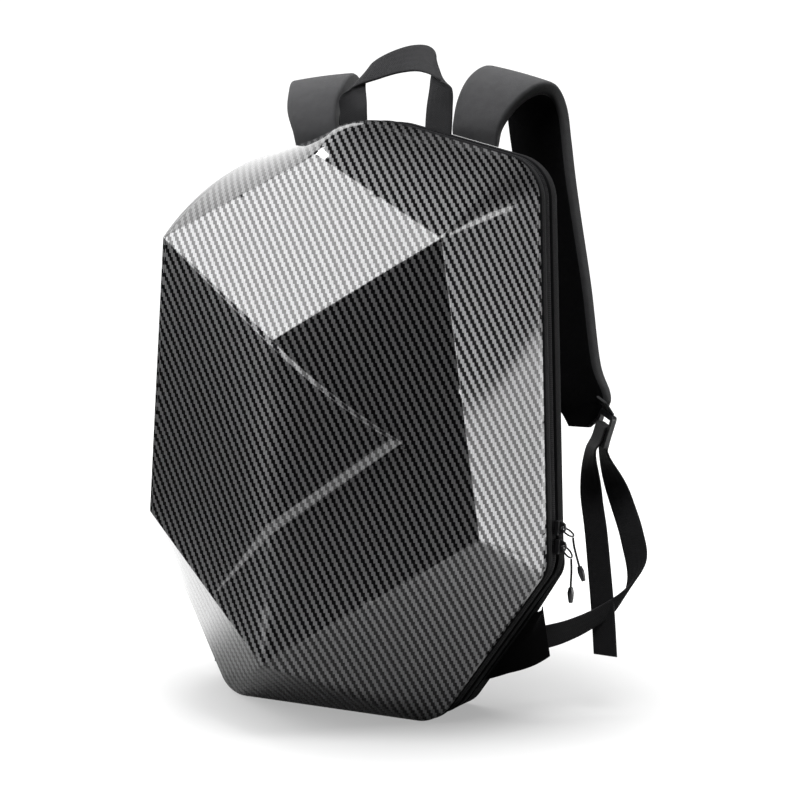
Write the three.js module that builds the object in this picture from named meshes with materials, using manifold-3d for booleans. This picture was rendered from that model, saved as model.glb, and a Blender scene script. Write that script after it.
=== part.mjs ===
// Hard shell backpack: a faceted, gem-shaped front shell on a zipped fabric body with a
// padded back, two padded shoulder straps, lower webbing straps and a grab handle.
// Millimetres, +Z up. The shell faces -Y, the wearer's back is at +Y.
// Everything is laid out in an upright frame, with y = 0 at the shell's open rim, and is
// then leaned back: every point moves along +Y by LEAN for each millimetre of height.
import * as THREE from 'three';
import { mergeVertices } from 'three/addons/utils/BufferGeometryUtils.js';
import Module from 'manifold-3d';

const wasm = await Module();
wasm.setup();

// Body
const HEIGHT = 480;
const WIDTH = 358;
const LEAN = 0.173;
const GAP = 0.3;

// Shell
const SHELL_DEPTH = 144.5;
const SHELL_WALL = 3;
const SHELL_FLANGE = 8;
const CROWN_RADIUS = 60;
const SHOULDER_RADIUS = 42;
const SIDE_RADIUS = 28;
const FOOT_RADIUS = 30;
const CROWN_BULGE = 9;
const PLATE_LIFT = 5;

// Fabric body behind the shell
const SEAM_PROUD = 0.8;
const GUSSET_WALL = 2.5;
const GUSSET_SET_IN = 1;
const BINDING_DEPTH = 3;
const FRONT_GUSSET_DEPTH = 9;
const ZIP_DEPTH = 8;
const BACK_GUSSET_DEPTH = 14;
const BACK_GUSSET_ROUND = 5;
const SEAM_LIP = 12;
const PANEL_THICKNESS = 2.4;
const PANEL_SET_IN = 2;
const PAD_THICKNESS = 12;
const PAD_SET_IN = 7;
const PAD_ROUND = 4;
const PAD_TOP_DROP = 34;
const LUMBAR_THICKNESS = 7;

// Webbing and straps
const HANDLE_WIDTH = 25;
const HANDLE_THICKNESS = 2.6;
const HANDLE_REACH = 66;
const STRAP_WIDTH = 62;
const STRAP_THICKNESS = 12;
const STRAP_REACH = 54;
const STRAP_STANDOFF = 60;
const WEBBING_WIDTH = 20;
const WEBBING_THICKNESS = 1.8;
const WING_WIDTH = 74;
const WING_THICKNESS = 2.6;

// Adjuster: a flat frame of three bars that the lower webbing turns round
const ADJUSTER_WIDTH = 29;
const ADJUSTER_HEIGHT = 27;
const ADJUSTER_THICKNESS = 4;
const ADJUSTER_BAR = 4;
const ADJUSTER_CORNER = 3;

// Zip sliders and their pulls
const SLIDER_LENGTH = 11;
const SLIDER_WIDTH = 7;
const SLIDER_THICKNESS = 3;
const BRIDGE_RISE = 5.4;
const BRIDGE_THICKNESS = 2.2;
const BRIDGE_HOLE = 1.5;
const RING_RADIUS = 5.2;
const RING_WIRE = 0.75;
const CORD_DIAMETER = 1.8;
const TIP_LENGTH = 12;
const TIP_RADIUS = 2.7;
const TIP_BORE_DEPTH = 8.5;

const HALF_WIDTH = WIDTH / 2;
const ARC_STEPS = 5;
const SLIVER = 1e-6;

// Depths, from the rim backwards
const BINDING_FRONT = GAP;
const FRONT_GUSSET_FRONT = BINDING_FRONT + BINDING_DEPTH + GAP;
const ZIP_FRONT = FRONT_GUSSET_FRONT + FRONT_GUSSET_DEPTH + GAP;
const BACK_GUSSET_FRONT = ZIP_FRONT + ZIP_DEPTH + GAP;
const BACK_GUSSET_REAR = BACK_GUSSET_FRONT + BACK_GUSSET_DEPTH;
const PANEL_FRONT = BACK_GUSSET_REAR + GAP;
const PANEL_REAR = PANEL_FRONT + PANEL_THICKNESS;
const PAD_FRONT = PANEL_REAR + GAP;
const PAD_REAR = PAD_FRONT + PAD_THICKNESS;

// Rim corners, clockwise from the crown as seen from the front:
// across as a share of half the width, up as a share of the height.
const RIM = [
  { name: 'M', across: 0, up: 1, radius: CROWN_RADIUS },
  { name: 'L', across: 0.816, up: 0.917, radius: SHOULDER_RADIUS },
  { name: 'J', across: 1, up: 0.258, radius: SIDE_RADIUS },
  { name: 'I', across: 0.542, up: 0, radius: FOOT_RADIUS },
  { name: 'IL', across: -0.542, up: 0, radius: FOOT_RADIUS },
  { name: 'JL', across: -1, up: 0.258, radius: SIDE_RADIUS },
  { name: 'LL', across: -0.816, up: 0.917, radius: SHOULDER_RADIUS },
];

// Corners of the shell's facets: across as a share of half the width, out as a share of
// the shell's depth, up as a share of the height.
const GEM = {
  B: { across: 0, out: 0.713, up: 0.931 },
  C: { across: 0.698, out: 0.844, up: 0.796 },
  K: { across: 0.844, out: 0.484, up: 0.325 },
  H: { across: 0, out: 0.837, up: 0.121 },
  D: { across: 0, out: 1, up: 0.635 },
};

// The raised arrow plate on the front, on the facets D C K H and D A G H: along as a share
// from the centre ridge to the outer edge, down as a share from D to H, lift as a share
// of PLATE_LIFT.
const ARROW = {
  ET: { along: 0.655, down: 0.528, lift: 1 },
  EB: { along: 0.695, down: 0.556, lift: 0 },
  FT: { along: 0, down: 0.572, lift: 0.85 },
  FB: { along: 0, down: 0.605, lift: 0 },
  DT: { along: 0, down: 0.012, lift: 0.8 },
  P: { along: -0.41, down: 0.985, lift: 0 },
};

const vec = (x, y, z) => new THREE.Vector3(x, y, z);

// A closed body from loose triangles: shared corners are merged, slivers without area are
// dropped, and the whole is turned to face outwards. lean is the shear put on it.
function body(triangles, lean = LEAN) {
  const area = new THREE.Triangle();
  const kept = triangles.filter(([a, b, c]) => area.set(a, b, c).getArea() > SLIVER);
  const centre = kept[0][0];
  const signed = kept.reduce((sum, [a, b, c]) => {
    const cross = b.clone().sub(centre).cross(c.clone().sub(centre));
    return sum + a.clone().sub(centre).dot(cross);
  }, 0);
  const points = kept.flatMap(([a, b, c]) => (signed > 0 ? [a, b, c] : [a, c, b]));
  const geometry = mergeVertices(new THREE.BufferGeometry().setFromPoints(points), 1e-5);
  return geometry.applyMatrix4(shear(lean));
}

function shear(lean) {
  return new THREE.Matrix4().set(1, 0, 0, 0, 0, 1, lean, 0, 0, 0, 1, 0, 0, 0, 0, 1);
}

// Triangles between rows of points, each row a closed ring of the same count.
function skin(rows, wrap = false) {
  const out = [];
  const last = wrap ? rows.length : rows.length - 1;
  for (let j = 0; j < last; j += 1) {
    const near = rows[j];
    const far = rows[(j + 1) % rows.length];
    near.forEach((p, i) => {
      const k = (i + 1) % near.length;
      out.push([p, near[k], far[k]], [p, far[k], far[i]]);
    });
  }
  return out;
}

// Triangles of a flat or gently curved convex face, fanned from its middle.
function fan(ring, flip = false) {
  const middle = ring.reduce((sum, p) => sum.add(p), vec(0, 0, 0)).divideScalar(ring.length);
  return ring.map((p, i) => {
    const q = ring[(i + 1) % ring.length];
    return flip ? [middle, q, p] : [middle, p, q];
  });
}

function polygon(corners, flip = false) {
  const out = [];
  for (let i = 1; i < corners.length - 1; i += 1) {
    const face = [corners[0], corners[i], corners[i + 1]];
    out.push(flip ? face.reverse() : face);
  }
  return out;
}

// The rim's outline with rounded corners, moved outwards by offset. Each point knows its
// corner and the way out from the edge there.
function outline(offset = 0, lift = 0) {
  const at = RIM.map((c) => new THREE.Vector2(c.across * HALF_WIDTH, c.up * HEIGHT));
  const points = [];
  RIM.forEach((corner, i) => {
    const before = at[(i + RIM.length - 1) % RIM.length];
    const after = at[(i + 1) % RIM.length];
    const arriving = at[i].clone().sub(before).normalize();
    const leaving = after.clone().sub(at[i]).normalize();
    const turn = Math.acos(THREE.MathUtils.clamp(arriving.dot(leaving), -1, 1));
    const tangent = corner.radius * Math.tan(turn / 2);
    const start = Math.atan2(arriving.x, -arriving.y);
    const inward = new THREE.Vector2(arriving.y, -arriving.x).multiplyScalar(corner.radius);
    const centre = at[i].clone().addScaledVector(arriving, -tangent).add(inward);
    for (let k = 0; k <= ARC_STEPS; k += 1) {
      const angle = start - (turn * k) / ARC_STEPS;
      const out = new THREE.Vector2(Math.cos(angle), Math.sin(angle));
      const p = centre.clone().addScaledVector(out, corner.radius + offset);
      points.push({ x: p.x, z: p.y + lift, out, corner: corner.name });
    }
  });
  return points;
}

const loop = (offset, y) => outline(offset).map((p) => vec(p.x, y, p.z));

// One facet corner, mirrored for the left side and moved inwards by inset.
function gemPoint(corner, side = 1, inset = 0) {
  const x = corner.across * HALF_WIDTH;
  const z = corner.up * HEIGHT;
  const towardsMiddle = Math.sign(HEIGHT / 2 - z);
  const narrower = corner.across > 0 ? inset : 0;
  return vec(side * (x - narrower), -corner.out * SHELL_DEPTH + inset, z + towardsMiddle * inset);
}

function gem(inset) {
  const g = {};
  for (const name of Object.keys(GEM)) {
    g[name] = gemPoint(GEM[name], 1, inset);
  }
  g.A = gemPoint(GEM.C, -1, inset);
  g.G = gemPoint(GEM.K, -1, inset);
  for (const name of Object.keys(ARROW)) {
    const { along, down, lift } = ARROW[name];
    const outer = along < 0 ? [g.A, g.G] : [g.C, g.K];
    const top = g.D.clone().lerp(outer[0], Math.abs(along));
    const foot = g.H.clone().lerp(outer[1], Math.abs(along));
    g[name] = top.lerp(foot, down);
    g[name].y -= lift * PLATE_LIFT;
  }
  return g;
}

// Front faces of the shell, counter-clockwise as seen from the front.
const FRONT_FACES = [
  ['A', 'D', 'C', 'B'],
  ['A', 'DT', 'D'],
  ['D', 'DT', 'ET', 'EB'],
  ['DT', 'FT', 'ET'],
  ['A', 'P', 'FT', 'DT'],
  ['A', 'G', 'P'],
  ['FT', 'FB', 'EB', 'ET'],
  ['FT', 'P', 'FB'],
  ['C', 'D', 'EB', 'K'],
  ['K', 'EB', 'FB', 'H'],
  ['FB', 'P', 'H'],
  ['G', 'H', 'P'],
];

// The facet corner that each rim corner's arc fans out from.
const RIM_TO_GEM = { M: 'B', L: 'C', J: 'K', I: 'H', IL: 'H', JL: 'G', LL: 'A' };

// Rings from the front faces' outer edge to the rim. The crown facets bulge between.
function sideRings(g, inset) {
  const rim = outline(-inset);
  const steps = 5;
  const rings = [];
  for (let j = 0; j <= steps; j += 1) {
    const share = j / steps;
    rings.push(rim.map((p) => {
      const from = g[RIM_TO_GEM[p.corner]];
      const to = vec(p.x, -SHELL_FLANGE, p.z);
      const chord = to.clone().sub(from);
      const out = vec(p.out.x, 0, p.out.y);
      const away = out.clone().multiplyScalar(chord.y);
      away.y = -chord.dot(out);
      const crown = p.corner === 'M' ? 1 : Math.max(0, p.out.y) * 0.8;
      const bulge = crown * CROWN_BULGE * 4 * share * (1 - share);
      return from.clone().lerp(to, share).addScaledVector(away.normalize(), bulge);
    }));
  }
  rings.push(rim.map((p) => vec(p.x, 0, p.z)));
  return rings;
}

function shellGeometry() {
  const outer = gem(0);
  const inner = gem(SHELL_WALL);
  const rings = [...sideRings(outer, 0), ...sideRings(inner, SHELL_WALL).reverse()];
  const faces = FRONT_FACES.flatMap((names) => [
    ...polygon(names.map((n) => outer[n])),
    ...polygon(names.map((n) => inner[n]), true),
  ]);
  return body([...faces, ...skin(rings)]);
}

// A fabric ring round the rim from its cross-section: offset outwards, y backwards.
function ringGeometry(profile) {
  return body(skin(profile.map(({ offset, y }) => loop(offset, y)), true));
}

function bindingGeometry() {
  const rear = BINDING_FRONT + BINDING_DEPTH;
  return ringGeometry([
    { offset: 0, y: BINDING_FRONT },
    { offset: SEAM_PROUD, y: (BINDING_FRONT + rear) / 2 },
    { offset: 0, y: rear },
    { offset: -SHELL_WALL, y: rear },
    { offset: -SHELL_WALL, y: BINDING_FRONT },
  ]);
}

function frontGussetGeometry() {
  const rear = FRONT_GUSSET_FRONT + FRONT_GUSSET_DEPTH;
  return ringGeometry([
    { offset: -GUSSET_SET_IN, y: FRONT_GUSSET_FRONT },
    { offset: -GUSSET_SET_IN, y: rear },
    { offset: -GUSSET_SET_IN - GUSSET_WALL, y: rear },
    { offset: -GUSSET_SET_IN - GUSSET_WALL, y: FRONT_GUSSET_FRONT },
  ]);
}

function zipGeometry() {
  const rear = ZIP_FRONT + ZIP_DEPTH;
  const tape = ZIP_DEPTH / 4;
  return ringGeometry([
    { offset: -GUSSET_SET_IN - 1, y: ZIP_FRONT },
    { offset: -GUSSET_SET_IN - 1, y: ZIP_FRONT + tape },
    { offset: 0, y: ZIP_FRONT + ZIP_DEPTH / 2 },
    { offset: -GUSSET_SET_IN - 1, y: rear - tape },
    { offset: -GUSSET_SET_IN - 1, y: rear },
    { offset: -GUSSET_SET_IN - GUSSET_WALL, y: rear },
    { offset: -GUSSET_SET_IN - GUSSET_WALL, y: ZIP_FRONT },
  ]);
}

function backGussetGeometry() {
  const bend = BACK_GUSSET_REAR - BACK_GUSSET_ROUND;
  const half = BACK_GUSSET_ROUND * (1 - Math.SQRT1_2);
  const inside = BACK_GUSSET_REAR - GUSSET_WALL;
  return ringGeometry([
    { offset: SEAM_PROUD, y: BACK_GUSSET_FRONT },
    { offset: SEAM_PROUD, y: bend },
    { offset: SEAM_PROUD - half, y: BACK_GUSSET_REAR - half },
    { offset: SEAM_PROUD - BACK_GUSSET_ROUND, y: BACK_GUSSET_REAR },
    { offset: -SEAM_LIP, y: BACK_GUSSET_REAR },
    { offset: -SEAM_LIP, y: inside },
    { offset: SEAM_PROUD - BACK_GUSSET_ROUND, y: inside },
    { offset: SEAM_PROUD - GUSSET_WALL, y: bend },
    { offset: SEAM_PROUD - GUSSET_WALL, y: BACK_GUSSET_FRONT },
  ]);
}

function panelGeometry() {
  const front = loop(-PANEL_SET_IN, PANEL_FRONT);
  const rear = loop(-PANEL_SET_IN, PANEL_REAR);
  return body([...fan(front, true), ...skin([front, rear]), ...fan(rear)]);
}

// The back pad follows the outline, set in at the sides, lower at the top and thicker at
// the foot, where it reaches the base and the back can rest on it.
function padLoop(setIn, y, lumbar) {
  const top = HEIGHT - PAD_TOP_DROP - setIn;
  const floor = setIn - PAD_SET_IN - SEAM_PROUD;
  return outline(-setIn).map((p) => {
    const low = Math.max(0, 1 - p.z / (HEIGHT / 3));
    const z = low > 0 ? floor + (p.z - setIn) * (1 - floor / (HEIGHT / 3)) : Math.min(p.z, top);
    return vec(p.x, y + lumbar * low, z);
  });
}

function padGeometry() {
  const rings = [
    padLoop(PAD_SET_IN, PAD_FRONT, 0),
    padLoop(PAD_SET_IN, PAD_REAR - PAD_ROUND, LUMBAR_THICKNESS),
    padLoop(PAD_SET_IN + PAD_ROUND, PAD_REAR, LUMBAR_THICKNESS),
  ];
  return body([...fan(rings[0], true), ...skin(rings), ...fan(rings[2])]);
}

// Rows of a strip, filled in between by a smooth curve. Each row has the middle of the
// strip x, y, z, the direction across it as yaw and pitch in degrees, and its width.
function refine(rows, steps) {
  const radians = THREE.MathUtils.degToRad;
  const middles = rows.map((r) => vec(r.x, r.y, r.z));
  const across = rows.map((r) => vec(
    Math.cos(radians(r.yaw)) * Math.cos(radians(r.pitch)),
    Math.sin(radians(r.yaw)) * Math.cos(radians(r.pitch)),
    Math.sin(radians(r.pitch)),
  ));
  const sizes = rows.map((r) => vec(r.width, r.thickness, 0));
  const curves = [middles, across, sizes].map(
    (list) => new THREE.CatmullRomCurve3(list, false, 'centripetal'),
  );
  const count = (rows.length - 1) * steps;
  return Array.from({ length: count + 1 }, (_, i) => {
    const [middle, side, size] = curves.map((c) => c.getPoint(i / count));
    return { middle, side: side.normalize(), width: size.x, thickness: size.y };
  });
}

// A strap or webbing strip along refined rows, with a section of flat faces and, for a
// padded strap, chamfered edges.
function stripGeometry(rows, steps, chamfer = 0) {
  const fine = refine(rows, steps);
  const sections = fine.map((row, i) => {
    const before = fine[Math.max(0, i - 1)].middle;
    const after = fine[Math.min(fine.length - 1, i + 1)].middle;
    const normal = row.side.clone().cross(after.clone().sub(before)).normalize();
    const w = row.width / 2;
    const t = row.thickness / 2;
    const c = Math.min(chamfer, w * 0.6);
    const corners = chamfer > 0
      ? [[-w, -t / 3], [-w + c, -t], [w - c, -t], [w, -t / 3], [w, t / 3], [w - c, t],
        [-w + c, t], [-w, t / 3]]
      : [[-w, -t], [w, -t], [w, t], [-w, t]];
    return corners.map(([a, b]) => row.middle.clone()
      .addScaledVector(row.side, a)
      .addScaledVector(normal, b));
  });
  return body([
    ...fan(sections[0], true),
    ...skin(sections),
    ...fan(sections[sections.length - 1]),
  ]);
}

// Height of the fabric body's top face over a point at the side of the crown.
function crownHeight(across) {
  const slope = (RIM[0].up - RIM[1].up) * HEIGHT / ((RIM[1].across - RIM[0].across) * HALF_WIDTH);
  return HEIGHT + SEAM_PROUD * Math.hypot(1, slope) - slope * Math.abs(across);
}

const CROWN_SLOPE = THREE.MathUtils.radToDeg(Math.atan2(
  (RIM[0].up - RIM[1].up) * HEIGHT,
  (RIM[1].across - RIM[0].across) * HALF_WIDTH,
));

// Grab handle: two feet on the crown and a band between them that turns on edge. Across is
// a share of half the width, back a share of the handle's width behind the back gusset's
// middle, rise a share of the handle's reach over its feet.
const HANDLE_ROWS = [
  { across: -0.225, back: 0, rise: 0, yaw: 0, pitch: CROWN_SLOPE, span: 1.03 },
  { across: -0.232, back: -0.1, rise: 0.3, yaw: 8, pitch: 8, span: 0.98 },
  { across: -0.25, back: 0, rise: 0.56, yaw: 40, pitch: 28, span: 0.96 },
  { across: -0.215, back: 0.24, rise: 0.75, yaw: 62, pitch: 56, span: 0.96 },
  { across: -0.13, back: 0.46, rise: 0.87, yaw: 76, pitch: 68, span: 0.98 },
  { across: -0.02, back: 0.56, rise: 0.95, yaw: 84, pitch: 70, span: 1 },
  { across: 0.09, back: 0.42, rise: 0.94, yaw: 95, pitch: 68, span: 1 },
  { across: 0.178, back: 0.16, rise: 0.82, yaw: 128, pitch: 58, span: 1.04 },
  { across: 0.22, back: 0, rise: 0.58, yaw: 166, pitch: 16, span: 1 },
  { across: 0.222, back: 0, rise: 0.28, yaw: 179, pitch: 0, span: 0.98 },
  { across: 0.225, back: 0, rise: 0, yaw: 180, pitch: CROWN_SLOPE, span: 1.03 },
];

function handleGeometry() {
  const seam = (BACK_GUSSET_FRONT + BACK_GUSSET_REAR - BACK_GUSSET_ROUND) / 2;
  const footAcross = HANDLE_ROWS[0].across * HALF_WIDTH;
  const foot = crownHeight(footAcross) + GAP;
  return stripGeometry(HANDLE_ROWS.map((r) => ({
    x: r.across * HALF_WIDTH,
    y: seam + r.back * HANDLE_WIDTH,
    z: foot + r.rise * HANDLE_REACH,
    yaw: r.yaw,
    pitch: r.pitch,
    width: r.span * HANDLE_WIDTH,
    thickness: HANDLE_THICKNESS,
  })), 3);
}

// Shoulder strap, right-hand one: across is a share of half the width, back a share of
// the stand-off behind the seam, rise a share of the strap's reach over its root down to
// the apex, fall a share of the body's height below the apex, turn and droop the
// direction across it in degrees, span a share of its width.
const STRAP_ROWS = [
  { across: 0.417, back: 0, rise: 0, fall: 0, turn: 0, droop: 0, span: 0.69, slim: 0.55 },
  { across: 0.419, back: 0.01, rise: 0.2, fall: 0, turn: 0, droop: 0.3, span: 0.7, slim: 0.8 },
  { across: 0.428, back: 0.12, rise: 0.5, fall: 0, turn: 0, droop: 0.8, span: 0.8, slim: 1 },
  { across: 0.455, back: 0.32, rise: 0.8, fall: 0, turn: 0, droop: 0.9, span: 0.92, slim: 1 },
  { across: 0.49, back: 0.62, rise: 0.97, fall: 0, turn: 4, droop: 1, span: 1, slim: 1 },
  { across: 0.515, back: 0.92, rise: 0.91, fall: 0, turn: 8, droop: 0.9, span: 1, slim: 1 },
  { across: 0.54, back: 1.12, rise: 0.6, fall: 0, turn: 12, droop: 0.6, span: 1, slim: 1 },
  { across: 0.572, back: 1.19, rise: 0.2, fall: 0.02, turn: 14, droop: 0.5, span: 1, slim: 1 },
  { across: 0.63, back: 1.2, rise: 0, fall: 0.1, turn: 14, droop: 0.5, span: 1, slim: 1 },
  { across: 0.722, back: 1.18, rise: 0, fall: 0.24, turn: 12, droop: 0.6, span: 1, slim: 1 },
  { across: 0.8, back: 1.15, rise: 0, fall: 0.375, turn: 10, droop: 0.6, span: 1, slim: 1 },
  { across: 0.848, back: 1.13, rise: 0, fall: 0.421, turn: 6, droop: 0.2, span: 0.98, slim: 1 },
  { across: 0.885, back: 1.12, rise: 0, fall: 0.446, turn: 4, droop: 0, span: 0.84, slim: 0.9 },
  { across: 0.9, back: 1.12, rise: 0, fall: 0.47, turn: 4, droop: 0, span: 0.6, slim: 0.75 },
  { across: 0.89, back: 1.11, rise: 0, fall: 0.492, turn: 4, droop: 0, span: 0.3, slim: 0.6 },
];

const STRAP_ROOT_BACK = BACK_GUSSET_FRONT + 3 + (BACK_GUSSET_DEPTH - BACK_GUSSET_ROUND - 3) / 2;

// How each strap lies: droop tilts its apex down on the outside, splay leans it outwards
// as a share of half the width, lift raises its apex.
const STRAP_LIE = {
  right: { droop: 16, splay: 0, lift: 0 },
  left: { droop: 5, splay: 0.062, lift: 4 },
};

function strapRows(side) {
  const lie = STRAP_LIE[side > 0 ? 'right' : 'left'];
  const rootHeight = crownHeight(STRAP_ROWS[0].across * HALF_WIDTH) + 2 * GAP;
  return STRAP_ROWS.map((r) => ({
    x: side * (r.across + lie.splay * Math.min(1, 2 * r.rise)) * HALF_WIDTH,
    y: STRAP_ROOT_BACK + r.back * STRAP_STANDOFF,
    z: rootHeight + r.rise * (STRAP_REACH + lie.lift) - r.fall * HEIGHT,
    yaw: side * -r.turn,
    pitch: side * -(r.droop * lie.droop + Math.max(0, 1 - 4 * r.rise - 50 * r.fall) * CROWN_SLOPE),
    width: r.span * STRAP_WIDTH,
    thickness: r.slim * STRAP_THICKNESS,
  }));
}

// The adjuster hangs beside and in front of the strap's end. Its frame: along points down,
// across runs along its bars, out is its thickness.
function adjusterFrame(side) {
  const rows = strapRows(side);
  const end = rows[rows.length - 1];
  const along = vec(side * -0.25, 0, -1).normalize();
  const across = vec(side * 0.7, -0.7, 0);
  across.addScaledVector(along, -across.dot(along)).normalize();
  const out = across.clone().cross(along).multiplyScalar(side);
  const beside = STRAP_WIDTH * 0.3 + WEBBING_WIDTH * 0.45;
  const before = STRAP_THICKNESS / 2 + WEBBING_WIDTH * 0.5;
  const centre = vec(end.x + side * beside, end.y - before, end.z + ADJUSTER_HEIGHT * 0.05);
  return { along, across, out, centre };
}

const placed = (frame, along, out) => frame.centre.clone()
  .addScaledVector(frame.along, along)
  .addScaledVector(frame.out, out);

// Turns a geometry made flat, x across, y up the strap and z out, into a frame.
function intoFrame(geometry, frame) {
  const up = frame.along.clone().negate();
  const out = frame.across.clone().cross(up).normalize();
  const turn = new THREE.Matrix4().makeBasis(frame.across, up, out).setPosition(frame.centre);
  return geometry.applyMatrix4(turn).applyMatrix4(shear(LEAN));
}

function roundedShape(width, height, radius) {
  const shape = new THREE.Shape();
  const w = width / 2 - radius;
  const h = height / 2 - radius;
  shape.absarc(w, h, radius, 0, Math.PI / 2);
  shape.absarc(-w, h, radius, Math.PI / 2, Math.PI);
  shape.absarc(-w, -h, radius, Math.PI, Math.PI * 1.5);
  shape.absarc(w, -h, radius, Math.PI * 1.5, Math.PI * 2);
  return shape;
}

function adjusterGeometry(side) {
  const shape = roundedShape(ADJUSTER_WIDTH, ADJUSTER_HEIGHT, ADJUSTER_CORNER);
  const slotWidth = ADJUSTER_WIDTH - 2 * ADJUSTER_BAR;
  const slotHeight = (ADJUSTER_HEIGHT - 3 * ADJUSTER_BAR) / 2;
  for (const place of [1, -1]) {
    const middle = (place * (slotHeight + ADJUSTER_BAR)) / 2;
    const slot = new THREE.Path();
    slot.moveTo(-slotWidth / 2, middle - slotHeight / 2);
    slot.lineTo(-slotWidth / 2, middle + slotHeight / 2);
    slot.lineTo(slotWidth / 2, middle + slotHeight / 2);
    slot.lineTo(slotWidth / 2, middle - slotHeight / 2);
    slot.closePath();
    shape.holes.push(slot);
  }
  const flat = new THREE.ExtrudeGeometry(shape, {
    depth: ADJUSTER_THICKNESS, bevelEnabled: false, curveSegments: 3,
  });
  flat.translate(0, 0, -ADJUSTER_THICKNESS / 2);
  return intoFrame(tidy(flat), adjusterFrame(side));
}

// Only positions, with shared corners merged and slivers dropped.
function tidy(geometry) {
  const loose = geometry.index ? geometry.toNonIndexed() : geometry;
  const spots = loose.attributes.position;
  const corner = (i) => new THREE.Vector3().fromBufferAttribute(spots, i);
  const triangles = Array.from({ length: spots.count / 3 }, (_, i) => [
    corner(3 * i), corner(3 * i + 1), corner(3 * i + 2),
  ]);
  return body(triangles, 0);
}

// Joins closed geometries into one.
function union(geometries) {
  const solids = geometries.map((g) => new wasm.Manifold(new wasm.Mesh({
    numProp: 3,
    vertProperties: new Float32Array(g.attributes.position.array),
    triVerts: new Uint32Array(g.index.array),
  })));
  const joined = solids.reduce((a, b) => a.add(b)).getMesh();
  const geometry = new THREE.BufferGeometry();
  geometry.setAttribute('position', new THREE.BufferAttribute(joined.vertProperties, 3));
  geometry.setIndex(new THREE.BufferAttribute(joined.triVerts, 1));
  return geometry;
}

// Lower webbing, right-hand one: it leaves the wing, loops out beside the body, climbs to
// the adjuster, turns over its middle bar and hangs down as the tail. Across is a share of
// half the width, back a share of the stand-off behind the seam, up a share of the height.
const LOOP_ROWS = [
  { across: 0.84, back: 0.466, up: 0.122, yaw: 4, pitch: 80, span: 1 },
  { across: 0.885, back: 0.53, up: 0.126, yaw: 4, pitch: 80, span: 1 },
  { across: 0.95, back: 0.67, up: 0.133, yaw: 6, pitch: 78, span: 1 },
  { across: 1.05, back: 0.9, up: 0.152, yaw: 6, pitch: 74, span: 1 },
  { across: 1.16, back: 1.06, up: 0.186, yaw: 4, pitch: 66, span: 1.1 },
  { across: 1.215, back: 1.14, up: 0.232, yaw: 0, pitch: 48, span: 1.12 },
  { across: 1.175, back: 1.18, up: 0.29, yaw: 0, pitch: 31, span: 1.05 },
  { across: 1.11, back: 1.2, up: 0.345, yaw: 0, pitch: 28, span: 1 },
];
const TAIL_ROWS = {
  right: [
    { across: 0.985, back: 1, up: 0.36, yaw: -6, pitch: 4, span: 1 },
    { across: 1.02, back: 1, up: 0.3, yaw: -2, pitch: 4, span: 1 },
    { across: 1.047, back: 1, up: 0.245, yaw: 0, pitch: 4, span: 1 },
    { across: 1.086, back: 1, up: 0.16, yaw: 2, pitch: 4, span: 1 },
    { across: 1.112, back: 1, up: 0.092, yaw: 2, pitch: -2, span: 1 },
  ],
  left: [
    { across: 0.96, back: 1, up: 0.36, yaw: -6, pitch: 4, span: 1 },
    { across: 0.93, back: 0.98, up: 0.25, yaw: 0, pitch: 0, span: 1 },
    { across: 0.9, back: 0.95, up: 0.13, yaw: 0, pitch: 0, span: 1 },
    { across: 0.89, back: 0.92, up: 0.016, yaw: 0, pitch: 0, span: 1 },
  ],
};

function webbingGeometry(side) {
  const frame = adjusterFrame(side);
  const clear = WEBBING_THICKNESS / 2 + GAP;
  const half = ADJUSTER_THICKNESS / 2;
  const yaw = THREE.MathUtils.radToDeg(Math.atan2(frame.across.y, side * frame.across.x));
  const pitch = THREE.MathUtils.radToDeg(Math.asin(frame.across.z));
  const bar = ADJUSTER_BAR / 2;
  const round = clear * 0.75;
  const climb = [
    { along: ADJUSTER_HEIGHT / 2 + ADJUSTER_BAR, out: half + 3 * clear },
    { along: ADJUSTER_HEIGHT / 2 - ADJUSTER_BAR, out: half + 1.4 * clear },
    { along: bar, out: half + clear },
    { along: -bar, out: half + clear },
    { along: -bar - round, out: half + round },
    { along: -bar - clear, out: half },
  ];
  const drop = climb.map((p) => ({ along: p.along, out: -p.out })).reverse();
  const turn = [...climb, ...drop].map(({ along, out }) => {
    const p = placed(frame, along, out);
    return { x: p.x, y: p.y, z: p.z, yaw, pitch, span: 1 };
  });
  const spread = (r) => ({
    x: side * r.across * HALF_WIDTH,
    y: STRAP_ROOT_BACK + r.back * STRAP_STANDOFF,
    z: r.up * HEIGHT,
    yaw: r.yaw,
    pitch: r.pitch,
    span: r.span,
  });
  const tail = TAIL_ROWS[side > 0 ? 'right' : 'left'];
  const rows = [...LOOP_ROWS.map(spread), ...turn, ...tail.map(spread)];
  return stripGeometry(rows.map((r) => ({
    ...r,
    yaw: side * r.yaw,
    pitch: side * r.pitch,
    width: r.span * WEBBING_WIDTH,
    thickness: WEBBING_THICKNESS,
  })), 3);
}

// Short tab from the padded strap's front edge down to the adjuster's top bar.
function tabGeometry(side) {
  const { along, across, centre } = adjusterFrame(side);
  const degrees = THREE.MathUtils.radToDeg;
  const lie = {
    yaw: degrees(Math.atan2(across.y, across.x)),
    pitch: degrees(Math.asin(across.z)),
    width: WEBBING_WIDTH,
    thickness: WEBBING_THICKNESS,
  };
  const low = ADJUSTER_HEIGHT / 2 + 3 * GAP;
  return stripGeometry([WEBBING_WIDTH * 0.5, 0].map((up) => {
    const { x, y, z } = centre.clone().addScaledVector(along, -low - up);
    return { x: x - side * up, y, z, ...lie };
  }), 2);
}

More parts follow.
